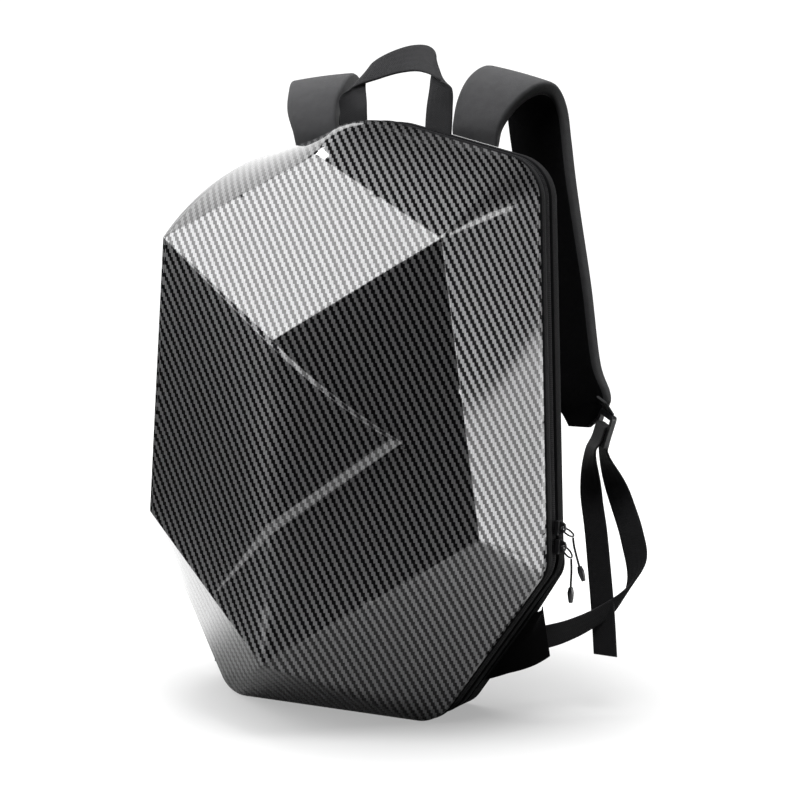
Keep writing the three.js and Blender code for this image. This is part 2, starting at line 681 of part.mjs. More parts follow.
// Fabric wing sewn on the seam at the lower corner, right-hand one: the middle of each
// row as shares of half the width, the stand-off and the height, and its span.
const WING_ROWS = [
  { across: 0.74, back: 0.3, up: 0.109, yaw: 0, pitch: 56, span: 0.92 },
  { across: 0.81, back: 0.34, up: 0.12, yaw: 0, pitch: 64, span: 0.8 },
  { across: 0.892, back: 0.45, up: 0.136, yaw: 0, pitch: 104, span: 0.52 },
];

function wingGeometry(side) {
  return stripGeometry(WING_ROWS.map((r) => ({
    x: side * r.across * HALF_WIDTH,
    y: STRAP_ROOT_BACK + r.back * STRAP_STANDOFF,
    z: r.up * HEIGHT,
    yaw: side * r.yaw,
    pitch: side * r.pitch,
    width: r.span * WING_WIDTH,
    thickness: WING_THICKNESS,
  })), 2);
}

// The straight side edge of the rim at a height: how far across it is.
function sideAcross(z) {
  const [top, foot] = [RIM[1], RIM[2]];
  const share = (top.up * HEIGHT - z) / ((top.up - foot.up) * HEIGHT);
  return THREE.MathUtils.lerp(top.across, foot.across, share) * HALF_WIDTH;
}

// A zip slider on the right-hand side: up as a share of the height, tilt the degrees that
// its ring stands out from hanging. The pull's cord starts under the ring and follows
// points of out, back and down, in millimetres.
const PULLS = [
  {
    up: 0.323,
    tilt: 55,
    cord: [
      { out: 0, back: 0, down: 0 }, { out: 0.2, back: 0, down: 2.2 },
      { out: 0.5, back: 0, down: 4.4 }, { out: 0.9, back: 0, down: 6.6 },
      { out: 1.4, back: 0, down: 8.8 }, { out: 2, back: 0, down: 10.9 },
      { out: 2.6, back: 0.1, down: 13 }, { out: 3.2, back: 0.1, down: 15.2 },
      { out: 3.9, back: 0.1, down: 17.3 }, { out: 4.5, back: 0.2, down: 19.4 },
      { out: 5.2, back: 0.2, down: 21.5 }, { out: 5.9, back: 0.2, down: 23.7 },
      { out: 6.6, back: 0.3, down: 25.8 }, { out: 7.3, back: 0.3, down: 27.9 },
      { out: 8, back: 0.3, down: 30 },
    ],
  },
  {
    up: 0.293,
    tilt: 40,
    cord: [
      { out: 0, back: 0, down: 0 }, { out: 0, back: 0, down: 2.2 },
      { out: 0.1, back: 0, down: 4.4 }, { out: 0.2, back: 0, down: 6.6 },
      { out: 0.2, back: 0.1, down: 8.8 }, { out: 0.2, back: 0.1, down: 11 },
      { out: 0.1, back: 0.1, down: 13.2 }, { out: 0, back: 0.1, down: 15.4 },
      { out: -0.1, back: 0.1, down: 17.6 }, { out: -0.2, back: 0.1, down: 19.8 },
      { out: -0.2, back: 0, down: 22 }, { out: -0.2, back: 0, down: 24.2 },
      { out: -0.2, back: 0, down: 26.4 }, { out: -0.2, back: 0, down: 28.7 },
      { out: -0.2, back: 0, down: 31 },
    ],
  },
];

// Places on a slider, leaned back with the body: the hole in its bridge, and the middle
// of the ring that hangs in it.
function sliderPlaces(pull) {
  const z = pull.up * HEIGHT;
  const seat = sideAcross(z - SLIDER_LENGTH / 2) + GAP;
  const y = ZIP_FRONT + ZIP_DEPTH / 2 + LEAN * z;
  const hole = vec(seat + SLIDER_THICKNESS + BRIDGE_RISE / 2, y, z);
  const tilt = THREE.MathUtils.degToRad(pull.tilt);
  const hang = vec(Math.sin(tilt), 0, -Math.cos(tilt)).multiplyScalar(RING_RADIUS);
  return { seat, hole, hang, tilt };
}

function sliderGeometry(pull) {
  const { seat, hole } = sliderPlaces(pull);
  const base = new THREE.BoxGeometry(SLIDER_THICKNESS, SLIDER_WIDTH, SLIDER_LENGTH);
  base.translate(seat + SLIDER_THICKNESS / 2, hole.y, hole.z);
  const reach = BRIDGE_RISE;
  const shape = new THREE.Shape();
  shape.moveTo(-SLIDER_THICKNESS / 2, -reach);
  shape.lineTo(0, -reach);
  shape.lineTo(reach * 0.8, -reach * 0.6);
  shape.lineTo(reach, 0);
  shape.lineTo(reach * 0.8, reach * 0.6);
  shape.lineTo(0, reach);
  shape.lineTo(-SLIDER_THICKNESS / 2, reach);
  shape.closePath();
  const eye = new THREE.Path();
  eye.absarc(BRIDGE_RISE / 2, 0, BRIDGE_HOLE, 0, Math.PI * 2, true);
  shape.holes.push(eye);
  const bridge = new THREE.ExtrudeGeometry(shape, {
    depth: BRIDGE_THICKNESS, bevelEnabled: false, curveSegments: 6,
  });
  bridge.translate(0, 0, -BRIDGE_THICKNESS / 2).rotateX(Math.PI / 2);
  bridge.translate(seat + SLIDER_THICKNESS, hole.y, hole.z);
  const lean = new THREE.Matrix4().makeTranslation(0, -LEAN * hole.z, 0).multiply(shear(LEAN));
  return union([tidy(base), tidy(bridge)]).applyMatrix4(lean);
}

function pullRingGeometry(pull) {
  const { hole, hang, tilt } = sliderPlaces(pull);
  const torus = new THREE.TorusGeometry(RING_RADIUS, RING_WIRE, 6, 20);
  const centre = hole.clone().add(hang);
  torus.rotateY(Math.PI / 2 - tilt);
  return tidy(torus.translate(centre.x, centre.y, centre.z));
}

function cordPoints(pull) {
  const { hole, hang } = sliderPlaces(pull);
  const top = hole.clone().addScaledVector(hang, 2).add(vec(0, 0, -RING_WIRE - GAP));
  return pull.cord.map((p) => top.clone().add(vec(p.out, p.back, -p.down)));
}

function pullCordGeometry(pull) {
  const sides = 8;
  const section = new THREE.Shape(Array.from({ length: sides }, (_, i) => {
    const angle = (2 * Math.PI * i) / sides;
    return new THREE.Vector2(Math.cos(angle), Math.sin(angle)).multiplyScalar(CORD_DIAMETER / 2);
  }));
  return tidy(new THREE.ExtrudeGeometry(section, {
    steps: 8, bevelEnabled: false, extrudePath: new THREE.CatmullRomCurve3(cordPoints(pull)),
  }));
}

// The moulded tip is bored from its mouth, and the cord's end sits in the bore.
function pullTipGeometry(pull) {
  const points = cordPoints(pull);
  const end = points[points.length - 1].clone();
  const down = end.clone().sub(points[points.length - 3]).normalize();
  const mouth = end.clone().addScaledVector(down, GAP - TIP_BORE_DEPTH);
  const bore = CORD_DIAMETER / 2 + GAP;
  const profile = [
    [0, TIP_BORE_DEPTH], [bore, TIP_BORE_DEPTH], [bore, 0], [bore + 0.6, 0],
    [TIP_RADIUS, TIP_LENGTH * 0.35], [TIP_RADIUS * 0.85, TIP_LENGTH * 0.7],
    [TIP_RADIUS * 0.6, TIP_LENGTH], [0, TIP_LENGTH],
  ].map(([r, h]) => new THREE.Vector2(r, h));
  const turn = new THREE.Quaternion().setFromUnitVectors(vec(0, 1, 0), down);
  const tip = new THREE.LatheGeometry(profile, 10).applyQuaternion(turn);
  return tidy(tip.translate(mouth.x, mouth.y, mouth.z));
}

const MATERIALS = {
  weave: { color: 0x1c1d1f, roughness: 0.22, metalness: 0 },
  fabric: { color: 0x18181a, roughness: 0.9, metalness: 0 },
  padding: { color: 0x3a3a3d, roughness: 0.95, metalness: 0 },
  webbing: { color: 0x232325, roughness: 0.85, metalness: 0 },
  binding: { color: 0x2a2a2c, roughness: 0.6, metalness: 0 },
  plastic: { color: 0x101011, roughness: 0.45, metalness: 0 },
  zip: { color: 0x131314, roughness: 0.5, metalness: 0 },
};

function named(name, geometry, finish) {
  geometry.computeVertexNormals();
  const mesh = new THREE.Mesh(geometry, new THREE.MeshStandardMaterial(MATERIALS[finish]));
  mesh.name = name;
  return mesh;
}

const part = new THREE.Group();
part.name = 'hard_shell_backpack';
part.add(
  named('shell', shellGeometry(), 'weave'),
  named('rim_binding', bindingGeometry(), 'binding'),
  named('gusset_front', frontGussetGeometry(), 'fabric'),
  named('zipper', zipGeometry(), 'zip'),
  named('gusset_back', backGussetGeometry(), 'fabric'),
  named('back_panel', panelGeometry(), 'fabric'),
  named('back_pad', padGeometry(), 'padding'),
  named('grab_handle', handleGeometry(), 'webbing'),
);
for (const [sideName, side] of [['right', 1], ['left', -1]]) {
  part.add(
    named(`shoulder_strap_${sideName}`, stripGeometry(strapRows(side), 2, 4), 'padding'),
    named(`strap_tab_${sideName}`, tabGeometry(side), 'webbing'),
    named(`adjuster_${sideName}`, adjusterGeometry(side), 'plastic'),
    named(`webbing_${sideName}`, webbingGeometry(side), 'webbing'),
    named(`wing_${sideName}`, wingGeometry(side), 'fabric'),
  );
}
PULLS.forEach((pull, i) => {
  part.add(
    named(`zip_slider_${i + 1}`, sliderGeometry(pull), 'plastic'),
    named(`pull_ring_${i + 1}`, pullRingGeometry(pull), 'plastic'),
    named(`pull_cord_${i + 1}`, pullCordGeometry(pull), 'webbing'),
    named(`pull_tip_${i + 1}`, pullTipGeometry(pull), 'plastic'),
  );
});

// The part stands centred on its own footprint, with the loose pulls left out of it.
const held = part.children.filter((piece) => !/^pull_(cord|tip)/.test(piece.name));
const box = held.reduce((sum, piece) => sum.expandByObject(piece), new THREE.Box3());
const middle = box.getCenter(new THREE.Vector3());
part.position.set(-middle.x, -middle.y, -box.min.z);

export default part;
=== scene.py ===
"""Looks of the hard shell backpack: camera, cords, shell, cloth, webbing, trim and studio."""
import sys
import logging
import math
from dataclasses import dataclass, field
from enum import Enum
from typing import Callable

import bmesh
import bpy
import numpy as np
from mathutils import Matrix, Vector


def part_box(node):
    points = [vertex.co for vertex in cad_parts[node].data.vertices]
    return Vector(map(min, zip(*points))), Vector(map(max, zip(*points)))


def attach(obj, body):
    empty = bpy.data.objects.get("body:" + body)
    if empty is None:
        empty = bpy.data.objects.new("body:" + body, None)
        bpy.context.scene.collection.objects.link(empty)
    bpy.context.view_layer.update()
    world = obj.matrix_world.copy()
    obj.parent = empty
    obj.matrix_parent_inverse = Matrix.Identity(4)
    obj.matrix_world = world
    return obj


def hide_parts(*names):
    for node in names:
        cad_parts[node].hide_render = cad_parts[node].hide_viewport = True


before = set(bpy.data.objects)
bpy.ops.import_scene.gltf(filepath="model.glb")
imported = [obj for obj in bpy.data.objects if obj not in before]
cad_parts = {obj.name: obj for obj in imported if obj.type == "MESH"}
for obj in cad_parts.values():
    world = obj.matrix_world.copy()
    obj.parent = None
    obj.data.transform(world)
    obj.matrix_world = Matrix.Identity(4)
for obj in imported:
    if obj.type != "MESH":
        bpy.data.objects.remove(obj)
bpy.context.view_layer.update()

LOG = logging.getLogger("backpack")

# the upright body in millimetres, as in the part's source
MM = 0.001
HEIGHT = 480.0
WIDTH = 358.0
HALF = WIDTH / 2
SHELL_DEPTH = 144.5
PLATE_LIFT = 5.0
CROWN_BULGE = 9.0
FLANGE = 8.0
# the crown's side corner: share of HALF out from the middle, share of HEIGHT below the top
CROWN_SIDE = 0.816
CROWN_FALL = 0.083
# depth behind the rim where the straps start, and the reach of a back value of 1
ROOT_BACK = 27.2
STANDOFF = 60.0
# way back for each unit of height, and the step from the upright frame to the row frame
LEAN = 0.173
OFFSET = np.array([0.0, -41.0417, 0.8])


class Slot(Enum):
    """The record's material slots of the pieces made here."""

    WEAVE = "weave"
    BINDING = "binding"
    FABRIC = "fabric"
    ZIP = "zip"
    PADDING = "padding"
    WEBBING = "webbing"


def placed(points: np.ndarray) -> np.ndarray:
    """Points of the upright frame in millimetres, leaned back and put in the row frame.

    Args:
        points: array of shape (..., 3).
    Returns:
        The same array in metres, y moved back by LEAN for each unit of height.
    """
    out = np.array(points, dtype=float)
    out[..., 1] += LEAN * out[..., 2]
    return (out + OFFSET) * MM


@dataclass(frozen=True)
class Lens:
    """The fitted camera: place in metres, down and turn in degrees, focal length in millimetres."""

    place: tuple = (0.7195, -1.2858, 0.3927)
    down: float = 5.584
    turn: float = 27.891
    focal: float = 80.67
    sensor: float = 36.0
    sight: float = 50.0

    def build(self) -> bpy.types.Object:
        """Adds the camera and makes it the scene's own.

        Returns:
            The camera.
        """
        data = bpy.data.cameras.new("camera")
        data.lens = self.focal
        data.sensor_width = self.sensor
        data.clip_end = self.sight
        camera = bpy.data.objects.new("camera", data)
        camera.location = self.place
        camera.rotation_euler = (math.radians(90 - self.down), 0.0, math.radians(self.turn))
        bpy.context.scene.collection.objects.link(camera)
        bpy.context.scene.camera = camera
        return camera


# each cord's route, in millimetres: to the right of its top and below it
CORD_DROPS = {
    1: ((0, 0), (.2, 2.2), (.5, 4.4), (.9, 6.6), (1.4, 8.8), (2, 10.9), (2.6, 13), (3.2, 15.2),
        (3.9, 17.3), (4.5, 19.4), (5.2, 21.5), (5.9, 23.7), (6.6, 25.8), (7.3, 27.9), (8, 30)),
    2: ((0, 0), (0, 2.2), (.1, 4.4), (.2, 6.6), (.2, 8.8), (.2, 11), (.1, 13.2), (0, 15.4),
        (-.1, 17.6), (-.2, 19.8), (-.2, 22), (-.2, 24.2), (-.2, 26.4), (-.2, 28.7), (-.2, 31)),
}


@dataclass(frozen=True)
class PullCords:
    """The two cords of the zip pulls, each from its ring down into its moulded tip."""

    thick: float = 1.8 * MM
    steps: int = 4

    def build(self, look: bpy.types.Material) -> None:
        """Adds and declares both cords.

        Args:
            look: the webbing material.
        """
        for number, drops in CORD_DROPS.items():
            low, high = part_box(f"pull_cord_{number}")
            ring_low, ring_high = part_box(f"pull_ring_{number}")
            table = np.array(drops) * MM
            top_x = low[0] - table[:, 0].min() + self.thick / 2
            y = np.full(len(table), (ring_low[1] + ring_high[1]) / 2)
            fine = spline(np.c_[top_x + table[:, 0], y, high[2] - table[:, 1]], self.steps)
            curve = bpy.data.curves.new(f"pull_cord_{number}_look", "CURVE")
            curve.dimensions = "3D"
            curve.bevel_depth = self.thick / 2
            curve.bevel_resolution = 3
            curve.use_fill_caps = True
            line = curve.splines.new("POLY")
            line.points.add(len(fine) - 1)
            line.points.foreach_set("co", np.c_[fine, np.ones(len(fine))].ravel())
            cord = bpy.data.objects.new(f"pull_cord_{number}_look", curve)
            bpy.context.scene.collection.objects.link(cord)
            curve.materials.append(look)
            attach(cord, "root")
            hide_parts(f"pull_cord_{number}")


def spline(points: np.ndarray, steps: int) -> np.ndarray:
    """A smooth centripetal curve through points.

    Args:
        points: array (n, k).
        steps: pieces per interval.
    Returns:
        Array ((n - 1) * steps + 1, k). Each interval is a cubic whose end slopes come from
        the neighbours, weighted with the fourth root of the squared distances.
    """
    least = 1e-4
    p = np.array(points, dtype=float)
    p = np.vstack([2 * p[0] - p[1], p, 2 * p[-1] - p[-2]])
    gap = np.sum(np.diff(p, axis=0) ** 2, axis=1) ** 0.25
    mid = np.where(gap < least, 1.0, gap)
    x0, x1, x2, x3 = p[:-3], p[1:-2], p[2:-1], p[3:]
    b = mid[1:-1, None]
    a = np.where(gap[:-2] < least, mid[1:-1], gap[:-2])[:, None]
    c = np.where(gap[2:] < least, mid[1:-1], gap[2:])[:, None]
    t1 = ((x1 - x0) / a - (x2 - x0) / (a + b) + (x2 - x1) / b) * b
    t2 = ((x2 - x1) / b - (x3 - x1) / (b + c) + (x3 - x2) / c) * b
    t = (np.arange(steps) / steps)[None, :, None]
    x1, x2, t1, t2 = (v[:, None, :] for v in (x1, x2, t1, t2))
    body = x1 + t1 * t + (-3 * x1 + 3 * x2 - 2 * t1 - t2) * t ** 2 + (
        2 * x1 - 2 * x2 + t1 + t2) * t ** 3
    return np.vstack([body.reshape(-1, p.shape[1]), p[-2][None]])


def quads(grid: np.ndarray) -> np.ndarray:
    """What stands at the four corners of each cell of a grid, (rows, columns, ...).

    Returns:
        (cells, 4, ...), cell by cell along the rows, corners in order round the cell.
    """
    corners = [grid[:-1, :-1], grid[:-1, 1:], grid[1:, 1:], grid[1:, :-1]]
    return np.stack(corners, 2).reshape(-1, 4, *grid.shape[2:])


@dataclass
class Mesh:
    """A mesh in the making: points, faces, a UV pair for each face corner, a look for each face."""

    points: list = field(default_factory=list)
    faces: list = field(default_factory=list)
    uvs: list = field(default_factory=list)
    looks: list = field(default_factory=list)
    count: int = 0

    def face(self, face: list[int]) -> None:
        """Adds one face of the first material with its UVs at zero."""
        self.faces.append(face)
        self.uvs.append([(0.0, 0.0)] * len(face))
        self.looks.append(0)

    def add(self, points: np.ndarray, faces: np.ndarray) -> None:
        """Adds points and faces.

        Args:
            points: (n, 3) array in metres.
            faces: rows of indices into points.
        """
        self.points.append(points)
        for face in (np.asarray(faces) + self.count).tolist():
            self.face(face)
        self.count += len(points)

    def caps(self, rows: int, columns: int) -> None:
        """Closes the first and the last row of a wrapped grid, the first one added."""
        self.face(list(range(columns))[::-1])
        self.face([(rows - 1) * columns + i for i in range(columns)])

    def grid(self, points: np.ndarray, u: np.ndarray, v: np.ndarray, wrap_u: bool = True,
             wrap_v: bool = False, looks: list[int] | None = None) -> None:
        """Adds a grid of quads.

        Args:
            points: (rows, columns, 3) in metres.
            u: column positions in metres, one more than columns if wrapped.
            v: row positions in metres, one more than rows if wrapped.
            wrap_u, wrap_v: whether the last column or row joins the first.
            looks: material index for each column, or None for the first material.
        """
        rows, cols = points.shape[:2]
        index = np.arange(rows * cols).reshape(rows, cols) + self.count
        index = np.pad(index, ((0, int(wrap_v)), (0, int(wrap_u))), "wrap")
        high, wide = index.shape
        flat = np.stack(np.meshgrid(u[:wide], v[:high]), -1)
        self.points.append(points.reshape(-1, 3))
        self.count += rows * cols
        self.faces.extend(quads(index).tolist())
        self.uvs.extend(quads(flat).tolist())
        self.looks.extend((looks or [0] * (wide - 1)) * (high - 1))

    def build(self, name: str, materials: list[bpy.types.Material], sharp: float = 30.0,
              merge: float = 0.0) -> bpy.types.Object:
        """Makes the object, faces outwards, smooth below the sharp angle.

        Args:
            name: the object's name.
            materials: list of materials.
            sharp: degrees above which an edge stays sharp.
            merge: metres within which points are merged first, none at 0.
        Returns:
            The new object.
        """
        data = bpy.data.meshes.new(name)
        data.from_pydata(np.vstack(self.points).tolist(), [], self.faces)
        layer = data.uv_layers.new(name="metres")
        layer.data.foreach_set("uv", np.array([c for f in self.uvs for c in f], float).ravel())
        data.polygons.foreach_set("material_index", self.looks)
        for material in materials:
            data.materials.append(material)
        shape = bmesh.new()
        shape.from_mesh(data)
        if merge:
            bmesh.ops.remove_doubles(shape, verts=shape.verts, dist=merge)
        bmesh.ops.recalc_face_normals(shape, faces=shape.faces)
        shape.to_mesh(data)
        shape.free()
        data.polygons.foreach_set("use_smooth", [True] * len(data.polygons))
        data.set_sharp_from_angle(angle=math.radians(sharp))
        item = bpy.data.objects.new(name, data)
        bpy.context.scene.collection.objects.link(item)
        return item


def declare(item: bpy.types.Object, node: str) -> None:
    """The piece rides on the body and stands for its CAD node.

    Args:
        item: the piece.
        node: the CAD node that it stands for.
    """
    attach(item, "root")
    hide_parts(node)
    LOG.info("built %s, %d faces", item.name, len(item.data.polygons))


# the rim's corners: name, share of HALF, share of HEIGHT, radius in millimetres
RIM = (
    ("M", 0, 1, 60), ("L", CROWN_SIDE, .917, 42), ("J", 1, .258, 28), ("I", .542, 0, 30),
    ("IL", -.542, 0, 30), ("JL", -1, .258, 28), ("LL", -CROWN_SIDE, .917, 42),
)


@dataclass(frozen=True)
class Outline:
    """The rounded outline of the rim, moved out by offset, with arc and straight pieces."""

    offset: float = 0.0
    arc: int = 14
    straight: int = 10

    def build(self) -> tuple[np.ndarray, np.ndarray, np.ndarray]:
        """Each corner is an arc from the way in to the way out, straight edges join them.

        Returns:
            Points (n, 2) as x and z, ways out (n, 2), corner positions (n,), where 2.5 is
            half-way along the straight edge from corner 2 to corner 3.
        """
        at = np.array([(across * HALF, up * HEIGHT) for _, across, up, _ in RIM])
        count = len(at)
        arcs = []
        for i in range(count):
            come = at[i] - at[i - 1]
            go = at[(i + 1) % count] - at[i]
            come /= np.linalg.norm(come)
            go /= np.linalg.norm(go)
            turn = math.acos(np.clip(come @ go, -1, 1))
            radius = RIM[i][3]
            inwards = np.array([come[1], -come[0]])
            centre = at[i] - come * radius * math.tan(turn / 2) + inwards * radius
            angle = math.atan2(come[0], -come[1]) - turn * np.linspace(0, 1, self.arc + 1)
            out = np.c_[np.cos(angle), np.sin(angle)]
            arcs.append((centre + out * (radius + self.offset), out))
        points, ways, corners = [], [], []
        for i in range(count):
            spots, out = arcs[i]
            points.append(spots)
            ways.append(out)
            corners.append(np.full(len(spots), float(i)))
            share = np.linspace(0, 1, self.straight + 1)[1:-1, None]
            after, after_out = arcs[(i + 1) % count]
            points.append(spots[-1] * (1 - share) + after[0] * share)
            ways.append(out[-1] * (1 - share) + after_out[0] * share)
            corners.append(i + share[:, 0])
        return np.vstack(points), np.vstack(ways), np.concatenate(corners)


def rim_loop(offset: float, depth: float) -> np.ndarray:
    """The rim's outline moved out by offset, at that depth, as (n, 3) in millimetres."""
    spots = Outline(offset).build()[0]
    return np.c_[spots[:, 0], np.full(len(spots), depth), spots[:, 1]]


def lengths(points: np.ndarray, wrap: bool = True) -> np.ndarray:
    """Running length along a line of points, in metres for points in millimetres.

    Args:
        points: array (n, k).
        wrap: whether the last point joins the first.
    Returns:
        One value for each point, and one more if wrapped.
    """
    path = np.vstack([points, points[:1]]) if wrap else points
    steps = np.linalg.norm(np.diff(path, axis=0), axis=1)
    return np.concatenate([[0.0], np.cumsum(steps)]) * MM


class Sig:
    """A shader value that can be calculated with."""

    def __init__(self, tree: bpy.types.NodeTree, socket: bpy.types.NodeSocket) -> None:
        """Wraps a socket of the tree."""
        self.tree = tree
        self.socket = socket

    def math(self, kind: str, *others: "Sig | float") -> "Sig":
        """Adds a maths node.

        Args:
            kind: its operation.
            others: the values after this one.
        Returns:
            The result.
        """
        node = self.tree.nodes.new("ShaderNodeMath")
        node.operation = kind
        for i, value in enumerate((self, *others)):
            if isinstance(value, Sig):
                self.tree.links.new(value.socket, node.inputs[i])
            else:
                node.inputs[i].default_value = value
        return Sig(self.tree, node.outputs[0])

    def __add__(self, other: "Sig | float") -> "Sig":
        """This value plus the other."""
        return self.math("ADD", other)

    def __sub__(self, other: "Sig | float") -> "Sig":
        """This value minus the other."""
        return self.math("SUBTRACT", other)

    def __rsub__(self, other: float) -> "Sig":
        """The other minus this value."""
        return self * -1.0 + other

    def __mul__(self, other: "Sig | float") -> "Sig":
        """This value times the other."""
        return self.math("MULTIPLY", other)

    def __truediv__(self, other: "Sig | float") -> "Sig":
        """This value divided by the other."""
        return self.math("DIVIDE", other)

    __radd__ = __add__
    __rmul__ = __mul__

    def floor(self) -> "Sig":
        """The whole number at or below this value."""
        return self.math("FLOOR")

    def fract(self) -> "Sig":
        """What is left above that whole number."""
        return self.math("FRACT")

    def sin(self) -> "Sig":
        """The sine of this value in radians."""
        return self.math("SINE")

    def less(self, other: "Sig | float") -> "Sig":
        """1 where this value is below the other, else 0."""
        return self.math("LESS_THAN", other)

    def mod(self, other: "Sig | float") -> "Sig":
        """The remainder, never negative."""
        return self.math("FLOORED_MODULO", other)

    def abs(self) -> "Sig":
        """This value without its sign."""
        return self.math("ABSOLUTE")

    def ramp(self, low: float, high: float) -> "Sig":
        """Adds a smooth step.

        Args:
            low: value up to which the result is 0.
            high: value from which it is 1.
        Returns:
            The result.
        """
        node = self.tree.nodes.new("ShaderNodeMapRange")
        node.interpolation_type = "SMOOTHSTEP"
        self.tree.links.new(self.socket, node.inputs["Value"])
        node.inputs["From Min"].default_value = low
        node.inputs["From Max"].default_value = high
        return Sig(self.tree, node.outputs["Result"])


class Look:
    """A procedural material."""

    def __init__(self, name: str) -> None:
        """Makes the material with its one shader."""
        self.material = bpy.data.materials.new(name)
        self.material.use_nodes = True
        self.tree = self.material.node_tree
        self.shader = self.tree.nodes["Principled BSDF"]

    def feed(self, socket: bpy.types.NodeSocket, value: "Sig | float | tuple") -> None:
        """Fills an input.

        Args:
            socket: the input.
            value: a Sig to link, or a value to set, a colour of three parts as opaque.
        """
        if isinstance(value, Sig):
            self.tree.links.new(value.socket, socket)
        elif socket.type == "RGBA":
            socket.default_value = (*value, 1.0)
        else:
            socket.default_value = value

    def node(self, kind: str, sockets: dict | None = None, output: int | str = 0,
             **settings: object) -> Sig:
        """Adds a node.

        Args:
            kind: the node's type.
            sockets: value or Sig of each input, by name or number.
            output: the output to read.
            settings: the node's own settings, which are set first.
        Returns:
            The value at that output.
        """
        node = self.tree.nodes.new(kind)
        for key, value in settings.items():
            setattr(node, key, value)
        for key, value in (sockets or {}).items():
            self.feed(node.inputs[key], value)
        return Sig(self.tree, node.outputs[output])

    def place(self, source: str = "Object") -> list[Sig]:
        """Splits coordinates.

        Args:
            source: Object or UV.
        Returns:
            Their three parts.
        """
        coords = self.node("ShaderNodeTexCoord", output=source)
        split = self.node("ShaderNodeSeparateXYZ", {0: coords}).socket.node
        return [Sig(self.tree, split.outputs[i]) for i in range(3)]

    def noise(self, scale: float, detail: float = 3.0) -> Sig:
        """Noise in object space.

        Args:
            scale: waves in a metre.
            detail: octaves.
        Returns:
            A value about 0.5.
        """
        coords = self.node("ShaderNodeTexCoord", output="Object")
        return self.node("ShaderNodeTexNoise", {"Vector": coords, "Scale": scale, "Detail": detail})

    def mix(self, share: "Sig | float", low: "Sig | tuple", high: "Sig | tuple",
            blend: str = "MIX") -> Sig:
        """Mixes two colours.

        Args:
            share: 0 for low, 1 for high, or for the whole of that blend.
            low: the first colour.
            high: the second colour.
            blend: how they mix.
        Returns:
            The colour.
        """
        return self.node("ShaderNodeMix", {"Factor": share, 6: low, 7: high}, 2,
                         data_type="RGBA", blend_type=blend)

    def set(self, **values: "Sig | float | tuple") -> "Look":
        """Fills inputs of the shader.

        Args:
            values: a value or Sig for each input, its name with _ for spaces.
        Returns:
            This look.
        """
        for key, value in values.items():
            self.feed(self.shader.inputs[key.replace("_", " ")], value)
        return self

    def bump(self, height: Sig, depth: float, strength: float, edge: float = 0.0) -> "Look":
        """Bumps the shader's normal.

        Args:
            height: from 0 to 1.
            depth: metres of a height of 1.
            strength: from 0 to 1.
            edge: metres by which edges look rounded.
        Returns:
            This look.
        """
        sockets = {"Strength": strength, "Distance": depth, "Height": height}
        if edge:
            sockets["Normal"] = self.rounded(edge)
        return self.set(Normal=self.node("ShaderNodeBump", sockets))

    def rounded(self, radius: float) -> Sig:
        """A normal that looks rounded at edges."""
        return self.node("ShaderNodeBevel", {"Radius": radius}, samples=6)


@dataclass(frozen=True)
class WeaveFinish:
    """The clear-coated twill of the shell, projected from the front, in metres.

    The left-hand side facets lie where x is under left_slope * z + left_start. The colour after
    dark is the share of its light that a tow keeps where it is frayed, and at its edges as painted shade.
    """

    column: float = 0.00179
    row: float = 0.00322
    slant: float = 0.53
    repeat: float = 4.0
    left_slope: float = 0.115
    left_start: float = -0.166
    light: tuple = (0.33, 0.33, 0.335)
    dark: tuple = (0.006, 0.006, 0.007)
    # colour a tow falls to where random fraying is strong and, as painted shade, at its edges
    wear_and_tow_shade: tuple = (0.45, 0.45, 0.45)
    fray: float = 2200.0
    tint: tuple = (0.35, 0.35, 0.35)
    metal: float = 0.9
    tow_rough: float = 0.52
    coat_rough: float = 0.06
    depth: float = 0.00008
    tow_edge: float = 0.0012
    coat_edge: float = 0.0013

    def build(self) -> bpy.types.Material:
        """Light where column number plus row number, modulo four, is under two. Columns run
        with x plus a share of y, and with x minus it on the left-hand side facets.

        Returns:
            The new material.
        """
        look = Look("weave")
        x, y, z = look.place()
        left = (x - z * self.left_slope - self.left_start).less(0.0)
        x = x + y * (1.0 - left * 2.0) * self.slant
        column = (x / self.column).floor()
        row = (z / self.row).floor()
        light = (column + row).mod(self.repeat).less(self.repeat / 2 - 0.5)
        across = ((x / self.column).fract() - 0.5).abs()
        # painted shade across each tow: its colour darkens from its middle to its edges, as a round tow
        # lit from the front would, on top of random fraying
        fray_and_tow_shade = look.noise(self.fray, 2.0).ramp(0.25, 0.75) * (1.0 - across * 1.2)
        wear_and_tow_shade = look.mix(fray_and_tow_shade, self.wear_and_tow_shade, (1.0, 1.0, 1.0))
        colour = look.mix(1.0, look.mix(light, self.dark, self.light), wear_and_tow_shade, "MULTIPLY")
        look.set(Base_Color=colour, Metallic=self.metal, Roughness=self.tow_rough, Coat_Weight=1.0,
                 Coat_Roughness=self.coat_rough, Coat_IOR=1.5, Specular_Tint=self.tint,
                 Coat_Normal=look.rounded(self.coat_edge))
        return look.bump(light * 0.7 + across * 0.3, self.depth, 0.35, self.tow_edge).material


@dataclass(frozen=True)
class ClothFinish:
    """A woven cloth read from its own UV in metres."""

    name: str
    dark: tuple
    light: tuple
    thread: float = 0.0009
    rough: float = 0.9
    depth: float = 0.00025
    sheen: float = 0.15
    grain: float = 160.0
    mottle: float = 0.2

    def build(self) -> bpy.types.Material:
        """Plain weave: the product of two sines, with mottled colour.

        Returns:
            The new material.
        """
        look = Look(self.name)
        u, v, _ = look.place("UV")
        step = 2 * math.pi / self.thread
        height = (u * step).sin() * (v * step).sin() * 0.5 + 0.5
        grain = look.noise(self.grain, 4.0)
        share = grain.ramp(0.3, 0.7) * self.mottle + height * (1.0 - self.mottle)
        look.set(Base_Color=look.mix(share, self.dark, self.light), Roughness=self.rough,
                 Sheen_Weight=self.sheen, Sheen_Roughness=0.5, Specular_IOR_Level=0.08)
        return look.bump(height + grain * self.mottle, self.depth, 0.5).material


